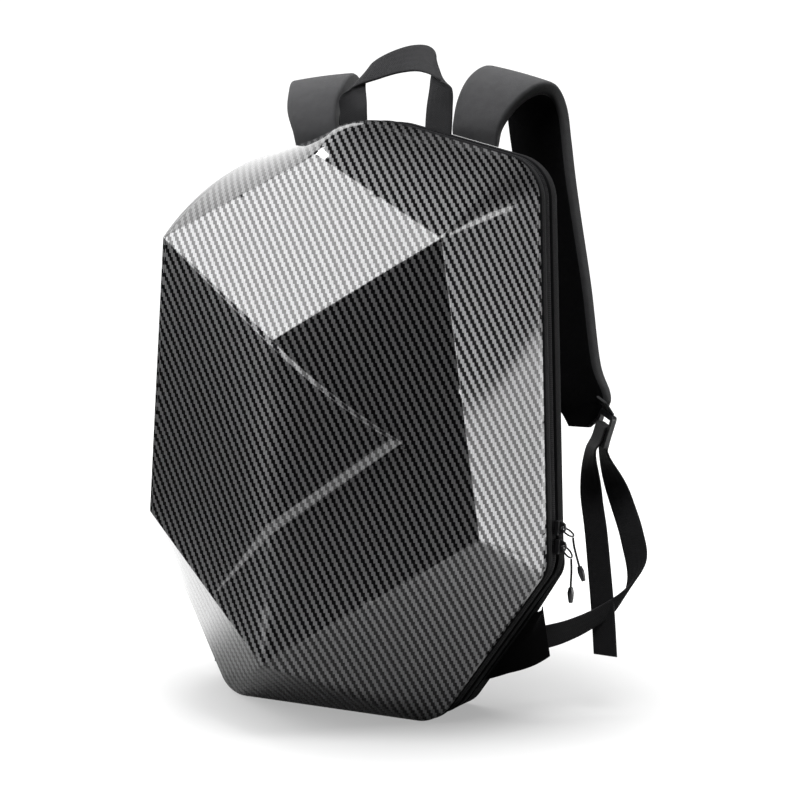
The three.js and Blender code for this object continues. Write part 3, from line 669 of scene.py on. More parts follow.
@dataclass(frozen=True)
class WebFinish:
    """Ribbed webbing: ribs across its length that zigzag over its width, in metres."""

    name: str = "webbing"
    dark: tuple = (0.005, 0.005, 0.0055)
    light: tuple = (0.022, 0.022, 0.024)
    rib: float = 0.0014
    zig_width: float = 0.005
    zig_reach: float = 0.004
    grain: float = 220.0
    depth: float = 0.0003

    def build(self) -> bpy.types.Material:
        """Ribs: a sine of the length plus a triangle wave of the width.

        Returns:
            The new material.
        """
        look = Look(self.name)
        u, v, _ = look.place("UV")
        zig = ((u / self.zig_width).fract() - 0.5).abs() * self.zig_reach
        ribs = ((v + zig) * (2 * math.pi / self.rib)).sin() * 0.5 + 0.5
        tint = look.mix(ribs * 0.6 + look.noise(self.grain) * 0.4, self.dark, self.light)
        look.set(Base_Color=tint, Roughness=0.78, Sheen_Weight=0.1, Specular_IOR_Level=0.16)
        return look.bump(ribs, self.depth, 0.55).material


@dataclass(frozen=True)
class ZipFinish:
    """Zip tape with a ribbed coil along its middle; v runs over the tape's width, in metres."""

    pitch: float = 0.0016
    middle: float = 0.0047
    half: float = 0.003
    slit: float = 0.0004
    dark: tuple = (0.002, 0.002, 0.0025)
    light: tuple = (0.012, 0.012, 0.013)
    depth: float = 0.0005

    def build(self) -> bpy.types.Material:
        """Ribs: a sine of the length, within half of the middle, with a slit along it.

        Returns:
            The new material.
        """
        look = Look("zip")
        u, v, _ = look.place("UV")
        ribs = (u * (2 * math.pi / self.pitch)).sin() * 0.5 + 0.5
        away = (v - self.middle).abs()
        coil = away.less(self.half)
        height = ribs * coil * 0.8 + coil * 0.4 - away.less(self.slit) * 0.6
        look.set(Base_Color=look.mix(ribs * coil, self.dark, self.light), Roughness=0.55,
                 Specular_IOR_Level=0.12)
        return look.bump(height, self.depth, 0.8).material


@dataclass(frozen=True)
class PlasticFinish:
    """Satin moulded plastic or coated wire with faint grain, in metres."""

    name: str
    colour: tuple
    rough: float
    metal: float = 0.0
    grain: float = 900.0
    depth: float = 0.00005
    edge: float = 0.0005

    def build(self) -> bpy.types.Material:
        """The grain shifts colour and roughness about their means.

        Returns:
            The new material.
        """
        look = Look(self.name)
        grain = look.noise(self.grain)
        low, high = (tuple(part * share for part in self.colour) for share in (0.8, 1.3))
        look.set(Base_Color=look.mix(grain, low, high), Metallic=self.metal,
                 Roughness=grain * 0.15 + (self.rough - 0.07))
        return look.bump(grain, self.depth, 0.2, self.edge).material


@dataclass
class Looks:
    """All the materials of the object, each made once."""

    weave: bpy.types.Material = field(default_factory=WeaveFinish().build)
    fabric: bpy.types.Material = field(default_factory=ClothFinish(
        "fabric", (0.002, 0.002, 0.0025), (0.007, 0.007, 0.008), sheen=0.05).build)
    lining: bpy.types.Material = field(default_factory=ClothFinish(
        "mesh", (0.002, 0.002, 0.002), (0.006, 0.006, 0.007), 0.002, 0.95, 0.0005, 0.0).build)
    padding: bpy.types.Material = field(default_factory=ClothFinish(
        "padding", (0.018, 0.018, 0.019), (0.046, 0.046, 0.048), 0.0008, 0.92, 0.0002).build)
    binding: bpy.types.Material = field(default_factory=ClothFinish(
        "binding", (0.003, 0.003, 0.0035), (0.009, 0.009, 0.01), 0.0007, sheen=0.03).build)
    webbing: bpy.types.Material = field(default_factory=WebFinish().build)
    zip: bpy.types.Material = field(default_factory=ZipFinish().build)
    plastic: bpy.types.Material = field(default_factory=PlasticFinish(
        "plastic", (0.012, 0.012, 0.013), 0.38).build)
    wire: bpy.types.Material = field(default_factory=PlasticFinish(
        "wire", (0.03, 0.03, 0.032), 0.3, 0.6).build)


# the facet corners: shares of HALF out, of SHELL_DEPTH forward and of HEIGHT up
GEM = {
    "B": (0, .713, .931), "C": (.698, .844, .796), "K": (.844, .484, .325),
    "H": (0, .837, .121), "D": (0, 1, .635),
}
# corners of the front facets below the kite: along from the ridge to either edge, down, lift
MARKS = {
    "A": (-1, 0, 0), "G": (-1, 1, 0), "C": (1, 0, 0), "K": (1, 1, 0), "D": (0, 0, 0), "H": (0, 1, 0),
    "ET": (.655, .528, 1), "EB": (.695, .556, 0), "FT": (0, .572, .85), "FB": (0, .605, 0),
    "DT": (0, .012, .8), "P": (-.41, .985, 0),
}
# the front facets by those corners
FRONT = (
    ("A", "DT", "D"), ("D", "DT", "ET", "EB"), ("DT", "FT", "ET"), ("A", "P", "FT", "DT"),
    ("A", "G", "P"), ("FT", "FB", "EB", "ET"), ("FT", "P", "FB"), ("C", "D", "EB", "K"),
    ("K", "EB", "FB", "H"), ("FB", "P", "H"), ("G", "H", "P"),
)
# the facet corner that each corner of the rim is joined to
RIM_SOURCES = ("B", "C", "K", "H", "H", "G", "A")


@dataclass(frozen=True)
class Shell:
    """The faceted front shell with the raised arrow: its grids, its ridge's half width and the
    loops of its rolled edge as offset outwards and depth, in millimetres."""

    cells: int = 36
    rings: int = 12
    ridge: float = 24.0
    ridge_fade: float = 6.0
    top_bulge: float = 0.8
    lip: tuple = ((0.0, -1.2), (-1.2, 0.0), (-3.0, 0.0))
    sharp: float = 9.0
    merge: float = 2e-6

    def corners(self) -> dict[str, np.ndarray]:
        """The facet corners, left ones mirrored from the right.

        Returns:
            A point in millimetres for each name.
        """
        g = {name: np.array([out * HALF, -front * SHELL_DEPTH, up * HEIGHT])
             for name, (out, front, up) in GEM.items()}
        g["A"] = g["C"] * (-1, 1, 1)
        g["G"] = g["K"] * (-1, 1, 1)
        return g

    def front_point(self, g: dict[str, np.ndarray], marks: np.ndarray) -> np.ndarray:
        """Points of the lower front facets.

        Args:
            g: facet corners.
            marks: (n, 3) along, down and lift.
        Returns:
            (n, 3): between the lines D to H and C to K or A to G, lifted, with the middle
            ridge rounded: y moves back by slope * ((x^2 + w^2) / 2w - |x|) within w of it.
        """
        along, down, lift = (marks[:, i:i + 1] for i in range(3))
        share = np.abs(along)
        top = g["D"] * (1 - share) + np.where(along < 0, g["A"], g["C"]) * share
        foot = g["H"] * (1 - share) + np.where(along < 0, g["G"], g["K"]) * share
        out = top * (1 - down) + foot * down
        out[:, 1] -= lift[:, 0] * PLATE_LIFT
        ridge = g["D"] * (1 - down) + g["H"] * down
        edge = g["C"] * (1 - down) + g["K"] * down
        slope = (edge[:, 1] - ridge[:, 1]) / edge[:, 0]
        fade = self.ridge_fade * np.minimum(down, 1 - down)[:, 0]
        wide = self.ridge * np.clip(fade, 0.02, 1)
        x = np.abs(out[:, 0])
        out[:, 1] += np.where(x < wide, slope * ((x ** 2 + wide ** 2) / (2 * wide) - x), 0)
        return out

    def patch(self, mesh: Mesh, corners: np.ndarray,
              at: Callable[[np.ndarray], np.ndarray]) -> None:
        """Adds one facet, a triangle or a four-cornered patch, as a fine grid.

        Args:
            mesh: the Mesh to add to.
            corners: (3 or 4, 3) in whatever space at reads.
            at: turns (n, 3) of that space into millimetres.
        """
        n = self.cells
        s = np.linspace(0, 1, n + 1)
        if len(corners) == 4:
            a, b, c, d = corners
            u, v = np.meshgrid(s, s)
            u, v = u.reshape(-1, 1), v.reshape(-1, 1)
            spots = (a * (1 - u) + b * u) * (1 - v) + (d * (1 - u) + c * u) * v
            faces = quads(np.arange((n + 1) ** 2).reshape(n + 1, n + 1))
        else:
            a, b, c = corners
            row, step = (part[:, None] / n for part in np.tril_indices(n + 1))
            spots = a * (1 - row) + b * (row - step) + c * step
            row, step = np.tril_indices(n)
            top = row * (row + 1) // 2 + step
            low = top + row + 1
            faces = np.vstack([np.c_[top, low, low + 1],
                               np.c_[top, low + 1, top + 1][step < row]])
        mesh.add(placed(at(spots)), faces)

    def build(self, looks: Looks) -> None:
        """Adds the shell: front facets, then rings out to the rim, then its rolled edge. The
        rings run straight from the facets to the rim, lifted by 4 s (1 - s) of the bulge.

        Args:
            looks: all the materials.
        """
        g = self.corners()
        mesh = Mesh()
        self.patch(mesh, np.array([g[n] for n in "ADCB"]), lambda p: p)
        for names in FRONT:
            self.patch(mesh, np.array([MARKS[n] for n in names], float),
                       lambda m: self.front_point(g, m))
        rim, ways, corner = Outline().build()
        first = corner.astype(int) % len(RIM)
        part = (corner - corner.astype(int))[:, None]
        sources = np.array([g[n] for n in RIM_SOURCES])
        start = sources[first] * (1 - part) + sources[(first + 1) % len(RIM)] * part
        away = np.maximum(0, ways[:, 1]) * self.top_bulge
        last = np.where(first == len(RIM) - 1, part[:, 0], 0)
        crown = np.maximum(away, np.where(first == 0, 1 - part[:, 0], last))
        end = rim_loop(0.0, -FLANGE)
        out = np.c_[ways[:, 0], np.zeros(len(rim)), ways[:, 1]]
        chord = end - start
        lift = out * chord[:, 1:2]
        lift[:, 1] = -np.sum(chord * out, axis=1)
        lift /= np.linalg.norm(lift, axis=1)[:, None]
        rows = []
        for share in np.linspace(0, 1, self.rings + 1):
            bulge = (crown * CROWN_BULGE * 4 * share * (1 - share))[:, None]
            rows.append(start * (1 - share) + end * share + lift * bulge)
        rows = np.array([*rows, *(rim_loop(*step) for step in self.lip)])
        mesh.grid(placed(rows), lengths(rim), np.linspace(0, 0.2, len(rows) + 1))
        item = mesh.build("shell_look", [looks.weave], self.sharp, self.merge)
        declare(item, "shell")


# the closed strips behind the shell: cross-section as offset outwards and depth, in millimetres
RIM_BINDING = ((-.2, .35), (.45, .6), (.8, 1.4), (.8, 2.2), (.45, 3), (-.2, 3.25), (-3, 3.25), (-3, .35))
GUSSET_FRONT = (
    (-1.5, 3.65), (-1.1, 4.1), (-.9, 6), (-.9, 10), (-1, 11.9), (-1.5, 12.55), (-3.5, 12.55), (-3.5, 3.65),
)
ZIPPER = (
    (-2, 12.95), (-1.9, 14), (-1.3, 14.6), (-.6, 15.3), (-.15, 16.2), (-.1, 16.7), (-.35, 16.9),
    (-.1, 17.1), (-.15, 17.6), (-.6, 18.5), (-1.3, 19.2), (-1.9, 19.8), (-2, 20.85), (-3.5, 20.85),
    (-3.5, 12.95),
)
GUSSET_BACK = (
    (.1, 21.25), (.65, 21.5), (.8, 22.4), (.75, 26), (.8, 30.2), (.42, 32.1), (-.66, 33.74), (-2.3, 34.8),
    (-4.2, 35.2), (-12, 35.2), (-12, 32.7), (-4.2, 32.7), (-1.7, 30.2), (-1.7, 21.25),
)
# the loops of the back from its front face to its rear face: distance set in, depth
BACK_PANEL = ((2.5, 35.55), (2, 36.1), (2, 37.3), (2.5, 37.85))
BACK_PAD = ((7.5, 38.3), (7.2, 40), (7, 46.2), (7.8, 48.2), (9.4, 49.6), (12, 50.2))


@dataclass(frozen=True)
class Body:
    """Piping, gussets, zip, panel and pad behind the shell, in millimetres and degrees."""

    sharp: float = 50.0
    shrinks: tuple = (0.3, 0.6, 0.85)
    pad_drop: float = 34.0
    pad_low: float = 7.8
    pad_front: float = 39.0
    pad_foot: float = 12.0
    pad_flare: float = 0.035
    pad_soft: float = 0.9

    def ring(self, node: str, profile: tuple, look: bpy.types.Material) -> None:
        """Adds a closed strip round the rim.

        Args:
            node: the CAD node that it stands for.
            profile: its cross-section, offset outwards and depth.
            look: its material.
        """
        rows = np.array([rim_loop(*step) for step in profile])
        mesh = Mesh()
        mesh.grid(placed(rows), lengths(rows[0][:, [0, 2]]), lengths(np.array(profile)), True, True)
        declare(mesh.build(f"{node}_look", [look], self.sharp), node)

    def closed(self, name: str, rows: list[np.ndarray], look: bpy.types.Material) -> bpy.types.Object:
        """A closed body from loops, its two faces filled with loops that shrink to their middles.

        Args:
            name: the object's name.
            rows: (n, 3) loops from face to face.
            look: its material.
        Returns:
            The new object.
        """
        front, rear = ([loop.mean(axis=0) * (1 - share) + loop * share for share in self.shrinks]
                       for loop in (rows[0], rows[-1]))
        stack = np.array([*front, *rows, *rear[::-1]])
        mesh = Mesh()
        mesh.grid(placed(stack), lengths(rows[0][:, [0, 2]]), np.linspace(0, 0.5, len(stack) + 1))
        mesh.caps(*stack.shape[:2])
        return mesh.build(name, [look], self.sharp)

    def pad_loop(self, set_in: float, depth: float) -> np.ndarray:
        """A loop of the back pad: cut off below the top, and in its lowest third drawn down to
        the ground, out by pad_flare and, behind pad_front, back by pad_foot.

        Args:
            set_in: millimetres inwards from the rim.
            depth: millimetres behind it.
        Returns:
            (n, 3) in millimetres.
        """
        x, _, z = rim_loop(-set_in, depth).T
        third = HEIGHT / 3
        floor = set_in - self.pad_low
        low = np.maximum(0, 1 - z / third)
        drawn = floor + (z - set_in) * (1 - floor / third)
        high = np.where(low > 0, drawn, np.minimum(z, HEIGHT - self.pad_drop - set_in))
        deep = depth + self.pad_foot * low * (depth > self.pad_front)
        return np.c_[x * (1 + self.pad_flare * np.minimum(1, 2 * low)), deep, high]

    def build(self, looks: Looks) -> None:
        """Adds each strip, then the panel and the pad.

        Args:
            looks: all the materials.
        """
        self.ring("rim_binding", RIM_BINDING, looks.binding)
        self.ring("gusset_front", GUSSET_FRONT, looks.fabric)
        self.ring("zipper", ZIPPER, looks.zip)
        self.ring("gusset_back", GUSSET_BACK, looks.fabric)
        rows = [rim_loop(-set_in, depth) for set_in, depth in BACK_PANEL]
        declare(self.closed("back_panel_look", rows, looks.fabric), "back_panel")
        item = self.closed("back_pad_look", [self.pad_loop(*step) for step in BACK_PAD], looks.lining)
        declare(item, "back_pad")


@dataclass
class Strip:
    """A strip along rows of middle, direction across, width and thickness, in millimetres.

    The look's name is the CAD node's with _look. soft is the share of the thickness that its
    edges are round, and inner gives it a second material and a swell on its inner face.
    """

    node: str
    slot: Slot
    rows: list
    looks: list
    steps: int = 8
    soft: float = 0.8
    inner: bool = False
    sharp: float = 60.0
    corner: int = 5
    flat: int = 7
    swell: float = 0.06
    inner_from: float = 0.3

    def section(self, width: float, thick: float) -> np.ndarray:
        """The cross-section: two flat faces joined by quarter circles.

        Args:
            width: millimetres from edge to edge.
            thick: millimetres from face to face.
        Returns:
            (n, 2) offsets across and out, from the right edge over the outer face and round.
        """
        r = thick / 2 * self.soft
        arc = np.linspace(0, math.pi / 2, self.corner)
        corner = np.c_[np.cos(arc), np.sin(arc)] * r
        w, t = width / 2 - r, thick / 2 - r
        flat = np.linspace(1, -1, self.flat + 2)[1:-1]
        swell = thick * self.swell * (1 - flat ** 2) if self.inner else 0 * flat
        outer = [corner + (w, t), np.c_[w * flat, t + r + swell],
                 corner[::-1] * (-1, 1) + (-w, t)]
        return np.vstack([*outer, *(-part for part in outer)])

    def build(self) -> bpy.types.Object:
        """Adds the strip: rows are x, y, z, yaw, pitch, width, thickness. The cross-section is
        carried along a smooth curve, across turned by yaw and then tipped by pitch.

        Returns:
            The new object.
        """
        table = np.array(self.rows, float)
        yaw, pitch = np.radians(table[:, 3]), np.radians(table[:, 4])
        across = np.c_[np.cos(yaw) * np.cos(pitch), np.sin(yaw) * np.cos(pitch), np.sin(pitch)]
        middle = spline(table[:, :3], self.steps)
        side = spline(across, self.steps)
        side /= np.linalg.norm(side, axis=1)[:, None]
        size = spline(table[:, 5:7], self.steps)
        normal = np.cross(side, np.gradient(middle, axis=0))
        normal /= np.linalg.norm(normal, axis=1)[:, None]
        rings = []
        for m, s, n, (width, thick) in zip(middle, side, normal, size):
            cut = self.section(width, thick)
            rings.append(m + s * cut[:, :1] + n * cut[:, 1:])
        rings = np.array(rings)
        width, thick = table[:, 5:7].max(axis=0)
        wide = self.section(width, thick)
        looks = None
        if self.inner:
            inside = wide[:, 1] < -thick * self.inner_from
            inside[-self.corner:] = False
            looks = inside.astype(int).tolist()
        mesh = Mesh()
        mesh.grid(placed(rings), lengths(wide), lengths(middle, False), True, False, looks)
        mesh.caps(*rings.shape[:2])
        item = mesh.build(f"{self.node}_look", self.looks, self.sharp)
        declare(item, self.node)
        return item


# the crown's side falls by this for each millimetre out, and its angle in degrees
FALL = CROWN_FALL * HEIGHT / (CROWN_SIDE * HALF)
SLOPE = math.degrees(math.atan2(CROWN_FALL * HEIGHT, CROWN_SIDE * HALF))
GUSSET_PROUD = 0.8


def crown_height(across: float) -> float:
    """Height of the fabric body's top face over a point at the side of the crown."""
    return HEIGHT + GUSSET_PROUD * math.hypot(1, FALL) - FALL * abs(across)


# across, back, rise, yaw, pitch, span
HANDLE_ROWS = (
    (-.225, 0, 0, 0, SLOPE, 1.03), (-.232, -.1, .3, 8, 8, .98), (-.25, 0, .56, 40, 28, .96),
    (-.215, .24, .75, 62, 56, .96), (-.13, .46, .87, 76, 68, .98), (-.02, .56, .95, 84, 70, 1),
    (.09, .42, .94, 95, 68, 1), (.178, .16, .82, 128, 58, 1.04), (.22, 0, .58, 166, 16, 1),
    (.222, 0, .28, 179, 0, .98), (.225, 0, 0, 180, SLOPE, 1.03),
)
# across, back, rise, fall, turn, droop, span, slim
STRAP_ROWS = (
    (.417, 0, 0, 0, 0, 0, .69, .55), (.419, .01, .2, 0, 0, .3, .7, .8), (.428, .12, .5, 0, 0, .8, .8, 1),
    (.455, .32, .8, 0, 0, .9, .92, 1), (.49, .62, .97, 0, 4, 1, 1, 1), (.515, .92, .91, 0, 8, .9, 1, 1),
    (.54, 1.12, .6, 0, 12, .6, 1, 1), (.572, 1.19, .2, .02, 14, .5, 1, 1), (.63, 1.2, 0, .1, 14, .5, 1, 1),
    (.722, 1.18, 0, .24, 12, .6, 1, 1), (.8, 1.15, 0, .375, 10, .6, 1, 1),
    (.848, 1.13, 0, .421, 6, .2, .98, 1), (.885, 1.12, 0, .446, 4, 0, .84, .9),
    (.9, 1.12, 0, .47, 4, 0, .6, .75), (.89, 1.11, 0, .492, 4, 0, .3, .6),
)
# droop, splay and lift of the right and the left strap
STRAP_LIE = {1: (16, 0, 0), -1: (5, .062, 4)}
# across, back, height, yaw, pitch, span of the lower webbing, its tail and the wing
LOOP_ROWS = (
    (.84, .466, .122, 4, 80, 1), (.885, .53, .126, 4, 80, 1), (.95, .67, .133, 6, 78, 1),
    (1.05, .9, .152, 6, 74, 1), (1.16, 1.06, .186, 4, 66, 1.1), (1.215, 1.14, .232, 0, 48, 1.12),
    (1.175, 1.18, .29, 0, 31, 1.05), (1.11, 1.2, .345, 0, 28, 1),
)
TAIL_ROWS = {
    1: ((.985, 1, .36, -6, 4, 1), (1.02, 1, .3, -2, 4, 1), (1.047, 1, .245, 0, 4, 1),
        (1.086, 1, .16, 2, 4, 1), (1.112, 1, .092, 2, -2, 1)),
    -1: ((.96, 1, .36, -6, 4, 1), (.93, .98, .25, 0, 0, 1), (.89, .84, .13, 0, 0, 1),
         (.85, .66, .008, 0, 0, 1)),
}
WING_ROWS = ((.74, .3, .109, 0, 56, .92), (.81, .34, .12, 0, 64, .8), (.892, .45, .136, 0, 104, .52))


@dataclass(frozen=True)
class Straps:
    """Handle, shoulder straps, tabs, lower webbing and wings, in millimetres.

    The handle is sewn in the middle of gusset, the rear gusset's front and rear edge, less its
    rounded edge. bar is half the adjuster's bar, and clear the room round it.
    """

    handle_width: float = 25.0
    handle_thick: float = 2.6
    handle_reach: float = 66.0
    handle_lift: float = 0.3
    gusset: tuple = (21.2, 35.2)
    gusset_curve: float = 5.0
    strap_width: float = 62.0
    strap_thick: float = 12.0
    strap_rise: float = 54.0
    strap_lift: float = 0.6
    strap_edge: float = 0.55
    strap_soft: float = 0.8
    web_width: float = 20.0
    web_thick: float = 1.8
    wing_width: float = 74.0
    wing_thick: float = 2.6
    adjuster_high: float = 27.0
    adjuster_back: float = 10.0
    tab_reach: float = 10.0
    bar: float = 2.0
    clear: float = 1.2

    def build(self, looks: Looks) -> None:
        """Adds the handle, then each side's strips.

        Args:
            looks: all the materials.
        """
        seam = (sum(self.gusset) - self.gusset_curve) / 2
        foot = crown_height(HANDLE_ROWS[-1][0] * HALF) + self.handle_lift
        rows = [(across * HALF, seam + back * self.handle_width, foot + rise * self.handle_reach,
                 yaw, pitch, span * self.handle_width, self.handle_thick)
                for across, back, rise, yaw, pitch, span in HANDLE_ROWS]
        Strip("grab_handle", Slot.WEBBING, rows, [looks.webbing], 10).build()
        for side, name in ((1, "right"), (-1, "left")):
            rows = self.strap_rows(side)
            item = Strip(f"shoulder_strap_{name}", Slot.PADDING, rows, [looks.padding, looks.lining],
                         10, self.strap_edge, True).build()
            self.lower(side, name, np.array(rows[-1][:3]), looks)

    def strap_rows(self, side: int) -> list[tuple]:
        """Rows of one padded strap.

        Args:
            side: 1 for the right one, -1 for the left one.
        Returns:
            Rows for a Strip.
        """
        droop, splay, lift = STRAP_LIE[side]
        root = crown_height(STRAP_ROWS[0][0] * HALF) + self.strap_lift
        out = []
        for across, back, rise, fall, turn, dip, span, slim in STRAP_ROWS:
            crown = max(0, 1 - 4 * rise - 50 * fall) * SLOPE
            out.append((
                side * (across + splay * min(1, 2 * rise)) * HALF, ROOT_BACK + back * STANDOFF,
                root + rise * (self.strap_rise + lift) - fall * HEIGHT, side * -turn,
                side * -(dip * droop + crown), span * self.strap_width, slim * self.strap_thick))
        return out

    def spread(self, side: int, rows: tuple, width: float, thick: float) -> list[tuple]:
        """Rows of a strip in millimetres from rows of shares.

        Args:
            side: 1 for the right one, -1 for the left one.
            rows: across, back, height, yaw, pitch, span.
            width: millimetres at a span of 1.
            thick: millimetres from face to face.
        Returns:
            Rows for a Strip.
        """
        return [(side * across * HALF, ROOT_BACK + back * STANDOFF, up * HEIGHT, side * yaw,
                 side * pitch, span * width, thick) for across, back, up, yaw, pitch, span in rows]

    def lower(self, side: int, name: str, end: np.ndarray, looks: Looks) -> None:
        """Adds tab, looped webbing and wing of one side.

        Args:
            side: 1 for the right one, -1 for the left one.
            name: right or left.
            end: the strap's lower end.
            looks: all the materials.
        """
        web = self.web_width, self.web_thick
        along = np.array([side * -.25, 0, -1])
        along /= np.linalg.norm(along)
        across = np.array([side * .7, -.7, 0])
        across -= along * (across @ along)
        across /= np.linalg.norm(across)
        out = np.cross(across, along) * side
        tip = math.degrees(math.asin(across[2]))
        centre = end + (side * (self.strap_width * .3 + self.web_width * .45),
                        -(self.strap_thick / 2 + self.adjuster_back), self.adjuster_high * .05)
        top = centre - along * (self.adjuster_high / 2 + self.web_thick / 2)
        yaw = math.degrees(math.atan2(across[1], across[0]))
        rows = [(*(top - along * up - (side * up, 0, 0)), yaw, tip, *web) for up in (self.tab_reach, 0.0)]
        Strip(f"strap_tab_{name}", Slot.WEBBING, rows, [looks.webbing], 6).build()
        # round the bar: below its middle and away to the rear, up there, over it and down in front
        bar, clear = self.bar, self.clear
        turn = [(17.5, bar + 3 * clear), (9.5, bar + 1.4 * clear), (bar, bar + clear), (-bar, bar + clear),
                (-bar - .75 * clear, bar + .75 * clear), (-bar - clear, bar)]
        turn += [(a, -o) for a, o in reversed(turn)]
        yaw = side * math.degrees(math.atan2(across[1], side * across[0]))
        rows = self.spread(side, LOOP_ROWS, *web)
        rows += [(*(centre + along * a + out * o), yaw, side * tip, *web) for a, o in turn]
        rows += self.spread(side, TAIL_ROWS[side], *web)
        Strip(f"webbing_{name}", Slot.WEBBING, rows, [looks.webbing]).build()
        rows = self.spread(side, WING_ROWS, self.wing_width, self.wing_thick)
        Strip(f"wing_{name}", Slot.FABRIC, rows, [looks.fabric]).build()


class Trim:
    """The CAD pieces that stay: adjusters, sliders, rings and tips."""

    def build(self, looks: Looks) -> None:
        """Gives each its material.

        Args:
            looks: all the materials.
        """
        finishes = {"adjuster": looks.plastic, "zip_slider": looks.plastic,
                    "pull_tip": looks.plastic, "pull_ring": looks.wire}
        for name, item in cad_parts.items():
            for start, look in finishes.items():
                if name.startswith(start):
                    item.data.materials.clear()
                    item.data.materials.append(look)
                    LOG.info("finished %s", name)


def area_light(name: str, size: tuple, power: float, matrix: Matrix) -> bpy.types.Object:
    """Adds a rectangular light that the camera doesn't see.

    Args:
        name: the light's name.
        size: width and height in metres.
        power: watts.
        matrix: its place and turn.
    Returns:
        The light.
    """
    light = bpy.data.lights.new(name, "AREA")
    light.shape = "RECTANGLE"
    light.size, light.size_y = size
    light.energy = power
    item = bpy.data.objects.new(name, light)
    item.matrix_world = matrix
    item.visible_camera = False
    bpy.context.scene.collection.objects.link(item)
    LOG.info("lit %s", name)
    return item


def mirrored(camera: bpy.types.Object, point: Vector, normal: Vector) -> Vector:
    """The way from the point to what it mirrors: sight less twice its part along the normal."""
    sight = (point - camera.location).normalized()
    return sight - 2 * sight.dot(normal) * normal


@dataclass(frozen=True)
class Card:
    """A soft light that shines at a point, from its spot or from where a facet there mirrors it.

    Places and sizes are in metres, power in watts. Without a spot the light hangs distance
    along the mirrored way, moved by shift. diffuse and glossy say which shine it takes part in.
    """

    name: str
    point: tuple
    size: tuple
    power: float
    normal: tuple = ()
    spot: tuple = ()
    distance: float = 1.5
    shift: tuple = (0.0, 0.0, 0.0)
    diffuse: bool = True
    glossy: bool = True

    def build(self, camera: bpy.types.Object) -> None:
        """Adds the light, facing its point.

        Args:
            camera: the camera that the facet mirrors it to.
        """
        point = Vector(self.point)
        if self.spot:
            place = Vector(self.spot)
        else:
            way = mirrored(camera, point, Vector(self.normal).normalized())
            place = point + way * self.distance + Vector(self.shift)
        turn = (point - place).to_track_quat("-Z", "Y").to_matrix().to_4x4()
        item = area_light(self.name, self.size, self.power, Matrix.Translation(place) @ turn)
        item.visible_diffuse = self.diffuse
        item.visible_glossy = self.glossy


@dataclass(frozen=True)
class EdgeCard:
    """A soft light whose upper edge a facet mirrors along a line across it, light below.

    The line is given by its two ends, each a point and the facet's normal there, in metres.
    """

    name: str
    line: tuple
    distance: float
    size: tuple
    power: float

    def build(self, camera: bpy.types.Object) -> None:
        """Mirrors both ends of the line, and hangs the light from the line between them.

        Args:
            camera: the camera that the facet mirrors it to.
        """
        ends = []
        for point, normal in self.line:
            point = Vector(point)
            ends.append((point, mirrored(camera, point, Vector(normal).normalized())))
        away = (ends[0][1] + ends[1][1]).normalized()
        board = (ends[0][0] + ends[1][0]) / 2 + away * self.distance
        hits = [point + way * ((board - point).dot(away) / way.dot(away)) for point, way in ends]
        along = (hits[1] - hits[0]).normalized()
        up = away.cross(along).normalized()
        if up.z < 0:
            up = -up
        place = (hits[0] + hits[1]) / 2 - up * self.size[1] / 2
        turn = Matrix((up.cross(away), up, away)).transposed().to_4x4()
        item = area_light(self.name, self.size, self.power, Matrix.Translation(place) @ turn)
        item.visible_diffuse = False


# the line across the side facet above which it stays dark: point and normal of both its ends
SIDE_LINE = (
    ((0.1449, -0.0742, 0.2546), (0.9438, -0.314, 0.1033)),
    ((0.1561, -0.0187, 0.2944), (0.9586, -0.2497, 0.1365)),
)


